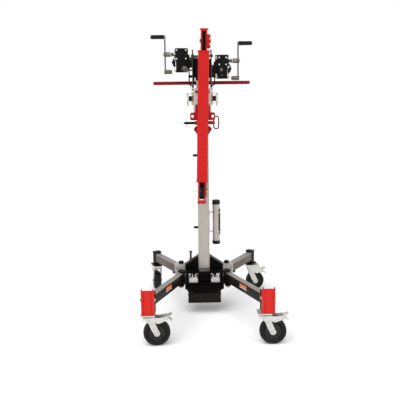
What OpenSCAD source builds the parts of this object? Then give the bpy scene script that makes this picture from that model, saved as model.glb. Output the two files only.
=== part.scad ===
// Winch-operated material lift: telescoping mast on a four-leg caster base,
// with a swinging two-sheave boom stowed upright in front of the mast.
// Millimetres, +Z up, floor at Z = 0, front of the lift towards -Y.

/* [Mast] */
// Outside width of the square fixed mast
mast_w = 70; // [66:1:74]
// Wall of the fixed mast
mast_wall = 4; // [3:0.5:5]
// Height of the top of the fixed mast above the floor
mast_top = 1578; // [1540:1:1600]
// Gap between the fixed and the sliding mast, each side
mast_gap = 1.5; // [1:0.5:2]

/* [Boom] */
// Outside width of the square boom tube
boom_w = 63; // [60:1:66]
// Height of the boom's lower end plate above the floor
boom_low = 850; // [800:10:900]
// Height of the boom's upper end plate above the floor
boom_high = 1611; // [1580:1:1640]
// Sideways lean of the stowed boom, degrees, top to the right
boom_lean = 1.4; // [0:0.1:3]
// Radius of the rope sheaves at the boom's ends
sheave_r = 46; // [42:1:47]

/* [Carriage] */
// Outside width of the carriage channel
carriage_w = 105; // [100:1:110]
// Height of the boom's pivot pin
pivot_z = 1238; // [1228:1:1248]

/* [Winches] */
// Height of the left winch's crank shaft
left_shaft_z = 1602; // [1594:1:1608]
// Height of the right winch's crank shaft
right_shaft_z = 1561; // [1553:1:1568]
// Distance from a crank shaft to the grip's spindle
crank_r = 103; // [95:1:110]
// Length of the rubber grip
grip_len = 76; // [70:1:84]

/* [Base] */
// Height of the underside of the legs above the floor
leg_z = 211; // [209:1:213]
// Height of a leg's profile
leg_h = 58; // [54:1:58]
// Width of a leg's profile
leg_w = 38; // [34:1:40]
// Length of a front leg from its pivot to its end
front_leg = 470; // [440:5:500]
// Length of a rear leg from its pivot to its end
rear_leg = 373; // [350:1:400]
// Angle of the front left leg from the side-to-side direction
front_left_angle = 68; // [66:1:70]
// Angle of the front right leg from the side-to-side direction
front_right_angle = 66; // [65:1:69]
// Angle of the rear left leg from the side-to-side direction
rear_left_angle = 61; // [56:1:64]
// Angle of the rear right leg from the side-to-side direction
rear_right_angle = 59; // [56:1:64]

/* [Casters] */
// Radius of a front wheel
front_wheel_r = 75; // [70:1:75]
// Radius of a rear wheel
rear_wheel_r = 62.5; // [60:0.5:64]

/* [Push bar] */
// Length of the push bar from end to end
bar_len = 600; // [560:4:660]
// Outside diameter of the push bar
bar_d = 21; // [18:1:24]

/* [Hidden] */

$fn = 48;
fit = 0.05;          // radial clearance of a pin in its bore
side_gap = 0.5;      // end clearance beside a turning part

// The model's origin is the floor point under the middle of its box
org_x = -42;
org_y = 35;

// Hub levels and pivots
pivot_x = 147;
pivot_y = 78;
pivot_r = 8;
ear_z = 198;
ear_t = 8;
flange_z = 165;
flange_t = 27;
top_z = 272;
top_t = 7;
hub_half = 102;
hub_front = 89;
box_low = 74;
column_half = 37;
column_front = 72;
plate_half_y = 96;
plate_half_x = 168;
lever_x = -84;
lever_y = 48;

// Mast derived
mast_low = flange_z + flange_t;
mast_in = mast_w - 2 * mast_wall;
inner_w = mast_in - 2 * mast_gap;
inner_wall = 3.5;
inner_low = 330;
inner_top = mast_top + 4;
head_t = 9;
rod_x = 55;
rod_r = 4;
rod_y = -6;
ear_level = 1396;

// Carriage and collar
car_low = 1216;
car_high = 1400;
car_side_t = 10;
car_front = 52;
car_web_t = 9;
car_back = 18;
collar_t = 9;
collar_back = car_front;
lug_t = 7;
lug_x = 60;
lug_z = 1234;
lug_hole_r = 8.5;
pin_z = 1196;
pin_y = -76;
pin_r = 7.5;
boss_r = 30;
boom_y = -125;
boom_wall = 4;
boom_back = boom_y + boom_w / 2;
stud_r = 10;
ring_x = 67;
ring_y = -44;
ring_wire = 3.8;
roll_z = 1338;
roll_y = -14;
roll_r = 16;
roll_pin = 4;

// Winch layout, for the left winch (the right one is its mirror image)
shaft_y = 60;
drum_y = 95;
drum_drop = 48;
case_in = 82;
case_out = 162;
arm_x = 217;
arm_t = 8;
drum_in = 10;
drum_core = 27;
drum_flange = 45;
drum_pin = 8;
case_y0 = 20;
case_y1 = 130;
// Middle of each cover and half the spacing of its bolts, in X and Z
left_cover = [-123, 28, 25];
right_cover = [-125.5, 20.5, 20.5];

// Casters
front_h = 180;
rear_h = 192;
front_wheel_w = 40;
rear_wheel_w = 44;
front_trail = 46;
rear_trail = 34;
axle_r = 6;
kingpin_r = 6;
kingpin_in = 15;
bar_z = 1432;
bar_y = 150;
channel_y = -562;
swivel_y = -537;
channel_back = -492;
channel_half = 35;
channel_high = 328;
end_bolt = [-505, 250];
end_bolt_r = 5;
head_fl = 4;
head_fr = -4;
head_rl = 102;
head_rr = 6;

// Document tube
tube_x = 79;
tube_y = 0;
tube_r = 22.5;
tube_low = 460;
tube_high = 693;
tube_straps = [513, 636];
peg_levels = [543, 995];

module at_base() translate([org_x, org_y, 0]) children();

// ---------- small helpers ----------
module bar_box(x0, x1, y0, y1, z0, z1)
    translate([x0, y0, z0]) cube([x1 - x0, y1 - y0, z1 - z0]);

module cyl_x(x0, x1, y, z, r)
    translate([x0, y, z]) rotate([0, 90, 0]) cylinder(r = r, h = x1 - x0);

module cyl_y(y0, y1, x, z, r)
    translate([x, y1, z]) rotate([90, 0, 0]) cylinder(r = r, h = y1 - y0);

module cyl_z(z0, z1, x, y, r)
    translate([x, y, z0]) cylinder(r = r, h = z1 - z0);

module hex_x(x0, x1, y, z, r)
    translate([x0, y, z]) rotate([0, 90, 0]) cylinder(r = r, h = x1 - x0, $fn = 6);

module hex_y(y0, y1, x, z, r)
    translate([x, y1, z]) rotate([90, 0, 0]) cylinder(r = r, h = y1 - y0, $fn = 6);

module hex_z(z0, z1, x, y, r)
    translate([x, y, z0]) cylinder(r = r, h = z1 - z0, $fn = 6);

// Rectangle with rounded corners, centred
module round_rect(w, d, r) {
    square([w - 2 * r, d], center = true);
    square([w, d - 2 * r], center = true);
    for (sx = [-1, 1], sy = [-1, 1])
        translate([sx * (w / 2 - r), sy * (d / 2 - r)]) circle(r = r);
}

// Hollow square tube standing on z0
module square_tube(w, wall, z0, z1, r)
    translate([0, 0, z0]) linear_extrude(z1 - z0) difference() {
        round_rect(w, w, r);
        square(w - 2 * wall, center = true);
    }

// Plate in the XZ plane from y0 to y1
module plate_xz(y0, y1)
    translate([0, y1, 0]) rotate([90, 0, 0]) linear_extrude(y1 - y0) children();

// ---------- hub ----------
module ear_outline(x_out, chamfer)
    polygon([[-x_out + chamfer, -plate_half_y], [x_out - chamfer, -plate_half_y],
             [x_out, -plate_half_y + chamfer], [x_out, plate_half_y - chamfer],
             [x_out - chamfer, plate_half_y], [-x_out + chamfer, plate_half_y],
             [-x_out, plate_half_y - chamfer], [-x_out, -plate_half_y + chamfer]]);

module pivot_holes()
    for (sx = [-1, 1], sy = [-1, 1])
        translate([sx * pivot_x, sy * pivot_y]) circle(r = pivot_r + fit);

module side_gusset() {
    gusset_in = mast_w / 2 + 0.5;
    gusset_out = 118;
    gusset_low = top_z + top_t;
    gusset_high = 358;
    gusset_mid = 302;
    strip_half = 26;
    strip_t = 6;
    plate_xz(-4, 4)
        polygon([[gusset_in, gusset_low], [gusset_out, gusset_low],
                 [gusset_out, gusset_mid], [gusset_in, gusset_high]]);
    plate_xz(-strip_half, strip_half)
        polygon([[gusset_in, gusset_high - strip_t], [gusset_out, gusset_mid - strip_t],
                 [gusset_out + 4, gusset_mid - 3], [gusset_out + 4, gusset_mid],
                 [gusset_in, gusset_high + 3]]);
}

module hub_gussets() color([0.06, 0.06, 0.065]) at_base() {
    side_gusset();
    mirror([1, 0, 0]) side_gusset();
}

module hub_frame() color([0.06, 0.06, 0.065]) at_base() {
    difference() {
        union() {
            translate([0, 0, ear_z]) linear_extrude(ear_t) ear_outline(plate_half_x, 34);
            translate([0, 0, flange_z]) linear_extrude(flange_t) ear_outline(122, 16);
            bar_box(-60, 60, -60, 60, flange_z + flange_t - 1, ear_z + 1);
            for (sx = [-1, 1], sy = [-1, 1])
                cyl_z(ear_z - 15, ear_z + 1, sx * pivot_x, sy * pivot_y, 20);
            // top plate, full width in front and narrow behind the mast
            translate([0, 0, top_z]) linear_extrude(top_t) difference() {
                ear_outline(plate_half_x, 34);
                for (s = [-1, 1]) {
                    translate([s * 133, 60]) square([90, 120], center = true);
                    translate([s * 148, 24]) square([60, 152], center = true);
                }
            }
            // front apron below the flange
            plate_xz(-plate_half_y, -plate_half_y + 5)
                polygon([[-122, flange_z + 4], [-122, flange_z], [-104, flange_z], [-64, 139],
                         [64, 139], [104, flange_z], [122, flange_z], [122, flange_z + 4]]);
            // mast boot: front, side and back plates between the two plates
            bar_box(-column_half, column_half, -column_front, -column_front + 8,
                    ear_z + 1, top_z + 1);
            for (s = [-1, 1])
                bar_box(s * (column_half - 0.5) - 1.5, s * (column_half - 0.5) + 1.5,
                        -column_front + 2, plate_half_y - 30, ear_z + 1, top_z + 1);
            bar_box(-column_half, column_half, plate_half_y - 32, plate_half_y - 26,
                    ear_z + 1, top_z + 1);
            // front webs beside the two openings
            for (s = [-1, 1])
                bar_box(s * 107 - 8, s * 107 + 8, -plate_half_y + 8, -plate_half_y + 56,
                        ear_z + 1, top_z + 1);
            // front lip under the top plate
            bar_box(-115, 115, -plate_half_y, -plate_half_y + 5, top_z - 4, top_z + 1);
            // guide sleeve of the leg plunger
            cyl_z(top_z + 2, 314, lever_x, lever_y, 10);
            bar_box(lever_x - 16, -60, lever_y - 12, lever_y + 12, top_z, top_z + top_t);
        }
        translate([0, 0, mast_low]) linear_extrude(top_z) square(mast_w + 0.4, center = true);
        // slot in the top plate in front of the mast
        bar_box(-mast_w / 2, mast_w / 2, -90, 0, top_z - 1, top_z + top_t + 1);
        translate([0, 0, ear_z - 16]) linear_extrude(top_z + top_t - ear_z + 30)
            pivot_holes();
        cyl_z(ear_z - 1, 340, lever_x, lever_y, 5 + fit);
    }
}

module hub_box() color([0.08, 0.08, 0.085]) at_base() {
    wall = 3;
    difference() {
        union() {
            bar_box(-hub_half, hub_half, -hub_front, hub_front, box_low, flange_z - 0.2);
            bar_box(-hub_half - 8, hub_half + 8, -hub_front + 4, hub_front - 4,
                    flange_z - 12, flange_z - 0.2);
        }
        bar_box(-hub_half + wall, hub_half - wall, -hub_front + wall, hub_front - wall,
                box_low + wall, flange_z - 4);
    }
}

module lock_blocks() color([0.75, 0.75, 0.73]) at_base()
    for (s = [-1, 1]) difference() {
        union() {
            bar_box(s * 69 - 27, s * 69 + 27, -86, -16, ear_z + ear_t, ear_z + ear_t + 24);
            bar_box(s * 68 - 22, s * 68 + 22, -84, -20, ear_z + ear_t + 23, ear_z + ear_t + 34);
            bar_box(s * 65 - 12, s * 65 + 12, -54, -24, ear_z + ear_t + 33, ear_z + ear_t + 42);
        }
        cyl_z(ear_z, 300, s * 65, -38, 6 + fit);
    }

module lock_pin(s) color([0.05, 0.05, 0.05]) at_base() {
    cyl_z(ear_z + ear_t + 2, ear_z + ear_t + 44, s * 65, -38, 6);
    cyl_z(ear_z + ear_t + 42.5, ear_z + ear_t + 51, s * 65, -38, 9);
    cyl_z(ear_z + ear_t + 50, ear_z + ear_t + 53, s * 65, -38, 7);
}
module lock_pin_left() lock_pin(-1);
module lock_pin_right() lock_pin(1);

module leg_plunger() color([0.1, 0.09, 0.09]) at_base() {
    cyl_z(ear_z + ear_t + 3, 366, lever_x, lever_y, 5);
    cyl_z(365, 375, lever_x, lever_y, 9);
    cyl_z(315, 322, lever_x, lever_y, 8);
}

// ---------- fixed mast ----------
module mast_outer() color([0.76, 0.74, 0.71]) at_base()
    difference() {
        square_tube(mast_w, mast_wall, mast_low, mast_top, 3);
        for (z = peg_levels) cyl_x(-mast_w / 2 - 1, -mast_w / 2 + mast_wall + 1, -8, z, 5);
    }

// Rest pegs, and the document tube's bottom cap and side strip
module mast_fittings() color([0.05, 0.05, 0.05]) at_base() {
    for (z = peg_levels) {
        cyl_x(-mast_w / 2 - 24, -mast_w / 2, -8, z, 7.5);
        cyl_x(-mast_w / 2 - 27, -mast_w / 2 - 23, -8, z, 5.5);
        cyl_x(-mast_w / 2 - 15, -mast_w / 2 - 11, -8, z, 8.5);
        cyl_x(-mast_w / 2 - 1, -mast_w / 2 + mast_wall, -8, z, 4.9);
    }
    difference() {
        cyl_z(tube_low - 25, tube_low - 3, tube_x, tube_y, tube_r + 2);
        cyl_z(tube_low - 22, tube_low - 2, tube_x, tube_y, tube_r + 0.02);
    }
    bar_box(tube_x + tube_r + 1.4, tube_x + tube_r + 3.2, -6, 6, 494, 662);
}

// ---------- winches and their bracket ----------
module guard_loop(s) {
    in_x = 48;
    out_x = 77;
    low_z = 1430;
    loop_y = 27;
    rod = 3.5;
    mid_x = (in_x + out_x) / 2;
    half = (out_x - in_x) / 2;
    mirror([s < 0 ? 1 : 0, 0, 0]) {
        cyl_z(low_z, 1524, in_x, loop_y, rod);
        cyl_z(low_z, 1512, out_x, loop_y, rod);
        translate([mid_x, loop_y, low_z]) rotate([-90, 0, 0])
            rotate_extrude(angle = 180) translate([half, 0]) circle(r = rod);
        bar_box(40, out_x + 2, loop_y - 2.5, loop_y + 2.5, 1464, 1475);
        bar_box(40, out_x + 1, loop_y - 2.5, loop_y + 2.5, 1503, 1511);
    }
}

module winch_bracket() color([0.05, 0.05, 0.055]) at_base() difference() {
    union() {
        // back plate on the mast
        bar_box(-58, 58, mast_w / 2 + 0.1, mast_w / 2 + 7, 1462, 1572);
        bar_box(-39, 39, mast_w / 2 + 0.1, mast_w / 2 + 7, bar_z - 16, 1464);
        // side brackets to the winch cases
        for (s = [-1, 1])
            bar_box(s * 60.5 - 21, s * 60.5 + 21, 24, mast_w / 2 + 7, 1462, 1478);
        // centre rib that carries the inner ends of both drums
        bar_box(-5, 5, mast_w / 2 + 5, 150, 1440, 1590);
        // arms of the push bar
        for (s = [-1, 1])
            bar_box(s * 34 - 5, s * 34 + 5, mast_w / 2 + 5, bar_y + 6, bar_z - 14, bar_z + 12);
        for (s = [-1, 1]) guard_loop(s);
    }
    cyl_x(-6, 6, drum_y, left_shaft_z - drum_drop, drum_pin + fit);
    cyl_x(-6, 6, drum_y, right_shaft_z - drum_drop - 4, drum_pin + fit);
    cyl_x(-60, 60, bar_y, bar_z, bar_d / 2 + fit);
}

// Winch gear case in left-winch position, mirrored for the right one
module winch_case(zc, cover) {
    zd = zc - drum_drop - (zc < left_shaft_z - 1 ? 4 : 0);
    difference() {
        union() {
            bar_box(-case_out, -case_in, case_y0 + 8, case_y1 - 18, zc - 36, zc + 33);
            // square cover and its raised border
            bar_box(cover[0] - cover[1] - 6.5, cover[0] + cover[1] + 6.5, case_y0 + 1, case_y0 + 9,
                    zc - 2 - cover[2] - 6.5, zc - 2 + cover[2] + 6.5);
            bar_box(cover[0] - cover[1] + 7, cover[0] + cover[1] - 7, case_y0 - 2, case_y0 + 2,
                    zc - 2 - cover[2] + 7, zc - 2 + cover[2] - 7);
            cyl_y(case_y0 - 4, case_y0, cover[0], zc - 2, 12);
            // lower gear housing around the drum axis
            cyl_x(-156, -case_in, drum_y, zd, 52);
            bar_box(-152, -92, case_y0 + 12, case_y1 - 12, zc - 100, zc - 30);
            bar_box(-158, -92, case_y0 + 24, case_y1 - 24, zc - 106, zc - 97);
            for (x = [-146, -110])
                bar_box(x, x + 8, case_y0 + 6, case_y0 + 14, zc - 98, zc - 34);
            // outer bearing flange
            cyl_x(-170, -case_out + 2, drum_y - 26, zc - drum_drop + 2, 29);
            cyl_x(-176, -168, drum_y - 26, zc - drum_drop + 2, 21);
            hex_x(-181, -175, drum_y - 26, zc - drum_drop + 2, 8);
            // crank shaft bearing neck
            cyl_x(-167, -case_out + 2, shaft_y, zc, 14);
            // inner flange towards the drum
            cyl_x(-case_in - 1, -case_in + 3, drum_y, zd, 50);
        }
        cyl_x(-170, -130, shaft_y, zc, 8 + fit);
        cyl_x(-110, -70, drum_y, zd, drum_pin + fit);
        // corner bolt seats in the cover
        for (kx = [-1, 1], kz = [-1, 1])
            cyl_y(case_y0, case_y0 + 10, cover[0] + kx * cover[1], zc - 2 + kz * cover[2], 3);
    }
}

module winch_cases() color([0.06, 0.06, 0.065]) at_base() {
    winch_case(left_shaft_z, left_cover);
    mirror([1, 0, 0]) winch_case(right_shaft_z, right_cover);
}

module case_bolts(zc, cover) {
    for (kx = [-1, 1], kz = [-1, 1]) {
        cyl_y(case_y0 + 0.5, case_y0 + 9, cover[0] + kx * cover[1], zc - 2 + kz * cover[2], 2.9);
        hex_y(case_y0 - 4, case_y0 + 1, cover[0] + kx * cover[1], zc - 2 + kz * cover[2], 5.5);
    }
    hex_y(case_y0 + 3, case_y0 + 12, -120, zc - 86, 6.5);
    hex_y(case_y0 + 3, case_y0 + 12, -97, zc - 92, 4.8);
}

module base_bolts() color([0.78, 0.68, 0.42]) at_base() {
    for (sx = [-1, 1]) {
        // front leg pivots
        cyl_z(ear_z - 28, top_z + top_t + 1, sx * pivot_x, -pivot_y, pivot_r);
        hex_z(ear_z - 25, ear_z - 15, sx * pivot_x, -pivot_y, 12);
        // rear leg pivots
        cyl_z(ear_z - 28, top_z + 18.5, sx * pivot_x, pivot_y, pivot_r);
        hex_z(ear_z - 25, ear_z - 15, sx * pivot_x, pivot_y, 12);
    }
    case_bolts(left_shaft_z, left_cover);
    mirror([1, 0, 0]) case_bolts(right_shaft_z, right_cover);
}

// Crank in left-winch position
module crank(zc) {
    arm_in = -arm_x;
    arm_out = -arm_x - arm_t;
    difference() {
        union() {
            bar_box(arm_out, arm_in, shaft_y - 10, shaft_y + 10, zc - crank_r - 3, zc + crank_r);
            for (z = [zc - crank_r - 3, zc + crank_r])
                cyl_x(arm_out, arm_in, shaft_y, z, 10);
            cyl_x(arm_out - 3, -186, shaft_y, zc, 14);
            cyl_x(-188, -172, shaft_y, zc, 11);
            cyl_x(-173, -132, shaft_y, zc, 8);
            cyl_x(arm_out - 3, -188, shaft_y, zc - crank_r, 13);
            cyl_x(-190, -180, shaft_y, zc - crank_r, 11);
            cyl_x(arm_out - grip_len - 3, arm_out + 1, shaft_y, zc + crank_r, 5);
            cyl_x(arm_out - grip_len - 6, arm_out - grip_len - 2.5, shaft_y, zc + crank_r, 9);
        }
        translate([-183, shaft_y, zc - crank_r]) rotate([0, 90, 0])
            translate([-6, -6, -20]) cube([12, 12, 30]);
    }
}
module crank_left() color([0.8, 0.78, 0.74]) at_base() crank(left_shaft_z);
module crank_right() color([0.8, 0.78, 0.74]) at_base() mirror([1, 0, 0]) crank(right_shaft_z);

module grip(zc) {
    gx0 = -arm_x - arm_t - grip_len - 1.9;
    gx1 = -arm_x - arm_t - 1;
    translate([gx0, shaft_y, zc + crank_r]) rotate([0, 90, 0]) difference() {
        rotate_extrude() polygon([[2, 0], [10.5, 0], [12, 2], [12.2, 14], [11.6, 30],
                                  [11.9, 46], [12.4, gx1 - gx0 - 12], [13, gx1 - gx0 - 5],
                                  [11.5, gx1 - gx0], [2, gx1 - gx0]]);
        translate([0, 0, -1]) cylinder(r = 5 + fit, h = gx1 - gx0 + 2);
    }
}
module grip_left() color([0.04, 0.04, 0.04]) at_base() grip(left_shaft_z);
module grip_right() color([0.04, 0.04, 0.04]) at_base() mirror([1, 0, 0]) grip(right_shaft_z);

// Drum with wound rope in left-winch position
module drum(zc, zd) {
    x0 = -case_in + 3 + side_gap;
    x1 = -drum_in;
    wraps = 9;
    rope = 3;
    cyl_x(x0, x1, drum_y, zd, drum_core);
    for (k = [0, 1]) cyl_x(k == 0 ? x0 : x1 - 4, k == 0 ? x0 + 4 : x1, drum_y, zd, drum_flange);
    translate([x0 + 4, drum_y, zd]) rotate([0, 90, 0]) for (i = [0:wraps - 1])
        translate([0, 0, 4 + i * 2 * rope]) rotate_extrude()
            translate([drum_core + rope - 0.6, 0]) circle(r = rope - 0.05, $fn = 16);
    cyl_x(-107, x0 + 1, drum_y, zd, drum_pin);
    cyl_x(x1 - 1, -0.6, drum_y, zd, drum_pin);
}
module drum_left() color([0.32, 0.32, 0.31]) at_base()
    drum(left_shaft_z, left_shaft_z - drum_drop);
module drum_right() color([0.32, 0.32, 0.31]) at_base() mirror([1, 0, 0])
    drum(right_shaft_z, right_shaft_z - drum_drop - 4);

module push_bar() color([0.5, 0.03, 0.03]) at_base() {
    cyl_x(-bar_len / 2 + 2, bar_len / 2 - 2, bar_y, bar_z, bar_d / 2);
    cyl_x(-bar_len / 2, bar_len / 2, bar_y, bar_z, bar_d / 2 - 2);
}

// ---------- document tube ----------
module tube_mount() color([0.7, 0.69, 0.68]) at_base() {
    bar_box(mast_w / 2, mast_w / 2 + 3, -14, 14, 504, 645);
    for (z = tube_straps) {
        bar_box(mast_w / 2 + 2, tube_x - tube_r - 0.4, -8, 8, z - 3, z + 3);
        difference() {
            cyl_z(z - 5, z + 5, tube_x, tube_y, tube_r + 1.2);
            cyl_z(z - 6, z + 6, tube_x, tube_y, tube_r + 0.02);
        }
    }
}

module document_tube() color([0.72, 0.71, 0.7]) at_base() difference() {
    cyl_z(tube_low - 22, tube_high, tube_x, tube_y, tube_r);
    cyl_z(tube_low - 20, tube_high + 1, tube_x, tube_y, tube_r - 2);
}

module tube_cap() color([0.05, 0.05, 0.05]) at_base() {
    difference() {
        cyl_z(tube_high - 4, tube_high + 18, tube_x, tube_y, tube_r + 2);
        cyl_z(tube_high - 5, tube_high + 0.5, tube_x, tube_y, tube_r + 0.08);
    }
    cyl_z(tube_high + 17, tube_high + 21, tube_x, tube_y, tube_r - 2);
}

// ---------- legs ----------
// A leg along local +X from its pivot, rotated into place
module along_leg(ang, px, py)
    translate([px, py, 0]) rotate([0, 0, ang]) children();

module leg_profile(len)
    translate([-leg_w / 2 + 1, 0, leg_z + leg_h / 2]) rotate([90, 0, 90]) linear_extrude(len + leg_w / 2 - 1)
        difference() {
            round_rect(leg_w, leg_h, 2.5);
            round_rect(leg_w - 6, leg_h - 6, 1);
        }

// Direction of each leg, counted from +X
function front_dir(s) = s > 0 ? -front_right_angle : 180 + front_left_angle;
function rear_dir(s) = s > 0 ? rear_right_angle : 180 - rear_left_angle;
// Middle of the end channel of a front leg
function channel_x(s) = s * pivot_x + (pivot_y + swivel_y + 25) / sin(front_dir(s)) * cos(front_dir(s));

module leg_front(s) {
    difference() {
        union() {
            along_leg(front_dir(s), s * pivot_x, -pivot_y) leg_profile(front_leg);
            // pivot barrel
            cyl_z(leg_z - 3, leg_z + leg_h, s * pivot_x, -pivot_y, 15);
        }
        cyl_z(leg_z - 10, leg_z + leg_h + 10, s * pivot_x, -pivot_y, pivot_r + fit);
        // bolt that holds the end channel
        cyl_x(channel_x(s) - 60, channel_x(s) + 60, end_bolt[0], end_bolt[1], end_bolt_r + 0.2);
    }
}
module leg_fl() color([0.74, 0.72, 0.69]) at_base() leg_front(-1);
module leg_fr() color([0.74, 0.72, 0.69]) at_base() leg_front(1);

module leg_rear(s) {
    difference() {
        union() {
            along_leg(rear_dir(s), s * pivot_x, pivot_y) leg_profile(rear_leg);
            cyl_z(leg_z - 3, leg_z + leg_h, s * pivot_x, pivot_y, 15);
        }
        cyl_z(leg_z - 10, leg_z + leg_h + 10, s * pivot_x, pivot_y, pivot_r + fit);
    }
}
module leg_rl() color([0.74, 0.72, 0.69]) at_base() leg_rear(-1);
module leg_rr() color([0.74, 0.72, 0.69]) at_base() leg_rear(1);

// Swivel axis of a front caster: under the left channel, inboard of the right one
function swivel_x(s) = s > 0 ? channel_x(s) - 20 : channel_x(s);

// Red upright channel at a front leg's end
module end_front(s) {
    cx = channel_x(s);
    half = channel_half;
    low = front_h;
    rim = channel_high - 5;
    difference() {
        union() {
            bar_box(cx - half, cx + half, channel_y, channel_y + 4, low, rim);
            for (k = [-1, 1]) {
                bar_box(cx + k * (half - 2) - 2, cx + k * (half - 2) + 2,
                        channel_y, channel_back, low, rim - 25);
                bar_box(cx + k * (half - 2) - 2, cx + k * (half - 2) + 2,
                        channel_y, channel_y + 14, low, rim);
                // small ears at the top corners
                bar_box(cx + k * (half - 3.5) - 3.5, cx + k * (half - 3.5) + 3.5,
                        channel_y, channel_y + 12, rim - 3, channel_high);
            }
            bar_box(cx - half, cx + half, channel_y, channel_back, low, low + 5);
        }
        cyl_x(cx - 50, cx + 50, end_bolt[0], end_bolt[1], end_bolt_r + 0.2);
        cyl_z(low - 1, low + 6, swivel_x(s), swivel_y, kingpin_r + fit);
    }
}
module end_fl() color([0.85, 0.14, 0.12]) at_base() end_front(-1);
module end_fr() color([0.85, 0.14, 0.12]) at_base() end_front(1);

// Dark end plate, through bolt and caster plate of a front leg
module post_front(s) {
    cx = channel_x(s);
    cyl_x(cx - 41, cx + 41, end_bolt[0], end_bolt[1], end_bolt_r);
    for (k = [-1, 1])
        hex_x(cx + k * 39 - 4, cx + k * 39 + 4, end_bolt[0], end_bolt[1], 9);
    difference() {
        bar_box(cx - 40, cx + 40, channel_back + 0.5, channel_back + 7, front_h - 2, 296);
        along_leg(front_dir(s), s * pivot_x, -pivot_y)
            translate([0, -leg_w / 2 - 0.3, leg_z - 0.3])
                cube([front_leg + 60, leg_w + 0.6, leg_h + 0.6]);
    }
    difference() {
        translate([swivel_x(s), -525, front_h - 8]) linear_extrude(7.8) round_rect(80, 82, 6);
        cyl_z(front_h - 9, front_h + 1, swivel_x(s), swivel_y, kingpin_r + fit);
    }
}
module post_fl() color([0.07, 0.07, 0.07]) at_base() post_front(-1);
module post_fr() color([0.07, 0.07, 0.07]) at_base() post_front(1);

// Black cap over a rear leg's end, carrying the caster plate
module end_rear(s) {
    along_leg(rear_dir(s), s * pivot_x, pivot_y) {
        difference() {
            translate([rear_leg - 32, -23, rear_h]) cube([36, 46, 84]);
            translate([0, -leg_w / 2 - 0.1, leg_z - 0.1])
                cube([rear_leg + 0.1, leg_w + 0.2, leg_h + 0.2]);
            translate([rear_leg - kingpin_in, 0, rear_h - 1]) cylinder(r = kingpin_r + fit, h = 20);
        }
        translate([rear_leg - 34, -25, 274]) cube([40, 50, 7]);
        difference() {
            translate([rear_leg - kingpin_in, 0, rear_h - 7.8]) linear_extrude(8)
                round_rect(76, 66, 6);
            translate([rear_leg - kingpin_in, 0, rear_h - 9])
                cylinder(r = kingpin_r + fit, h = 30);
        }
    }
}
module end_rl() color([0.06, 0.06, 0.06]) at_base() end_rear(-1);
module end_rr() color([0.06, 0.06, 0.06]) at_base() end_rear(1);

// Cast jaw over a rear leg's pivot, with an arched front wall
module casting(s) {
    cx = s * 146;
    difference() {
        union() {
            bar_box(cx - 41, cx + 41, 38, 108, top_z, top_z + 9);
            translate([cx, 0, 0]) mirror([s > 0 ? 0 : 1, 0, 0]) plate_xz(38, 46)
                polygon([[41, ear_z + ear_t], [41, 262], [37, 286], [31, 291], [19, 291], [13, 283],
                         [-13, 283], [-19, 291], [-28, 289], [-40, 272], [-40, 262], [-28, 244],
                         [-28, ear_z + ear_t], [-18, ear_z + ear_t], [-18, 250], [-12, 259],
                         [12, 259], [18, 250], [18, ear_z + ear_t]]);
            cyl_z(top_z + 8, top_z + 11, s * pivot_x, pivot_y, 17);
            for (k = [-1, 1])
                bar_box(cx + k * 36 - 5, cx + k * 36 + 5, 44, 70, top_z + 8, top_z + 15);
        }
        cyl_z(top_z - 1, top_z + 40, s * pivot_x, pivot_y, pivot_r + fit);
    }
}
module casting_rl() color([0.77, 0.76, 0.74]) at_base() casting(-1);
module casting_rr() color([0.77, 0.76, 0.74]) at_base() casting(1);

module knob(s) difference() {
    union() {
        cyl_z(top_z + 11.5, top_z + 15, s * pivot_x, pivot_y, 10);
        cyl_z(top_z + 14, top_z + 26, s * pivot_x, pivot_y, 15);
        for (a = [0:60:300])
            translate([s * pivot_x, pivot_y, top_z + 14]) rotate([0, 0, a + 30])
                translate([13.5, 0, 0]) cylinder(r = 4.2, h = 12, $fn = 24);
    }
    cyl_z(top_z + 11, top_z + 19, s * pivot_x, pivot_y, pivot_r + fit);
}
module knob_rl() color([0.05, 0.05, 0.05]) at_base() knob(-1);
module knob_rr() color([0.05, 0.05, 0.05]) at_base() knob(1);

// ---------- casters, local frame: swivel axis at the origin, trail along +X ----------
// Pivot of the brake pedal, X and Z
function horn_at(wr, trail) = [trail + 0.75 * wr, 2.13 * wr];

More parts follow.
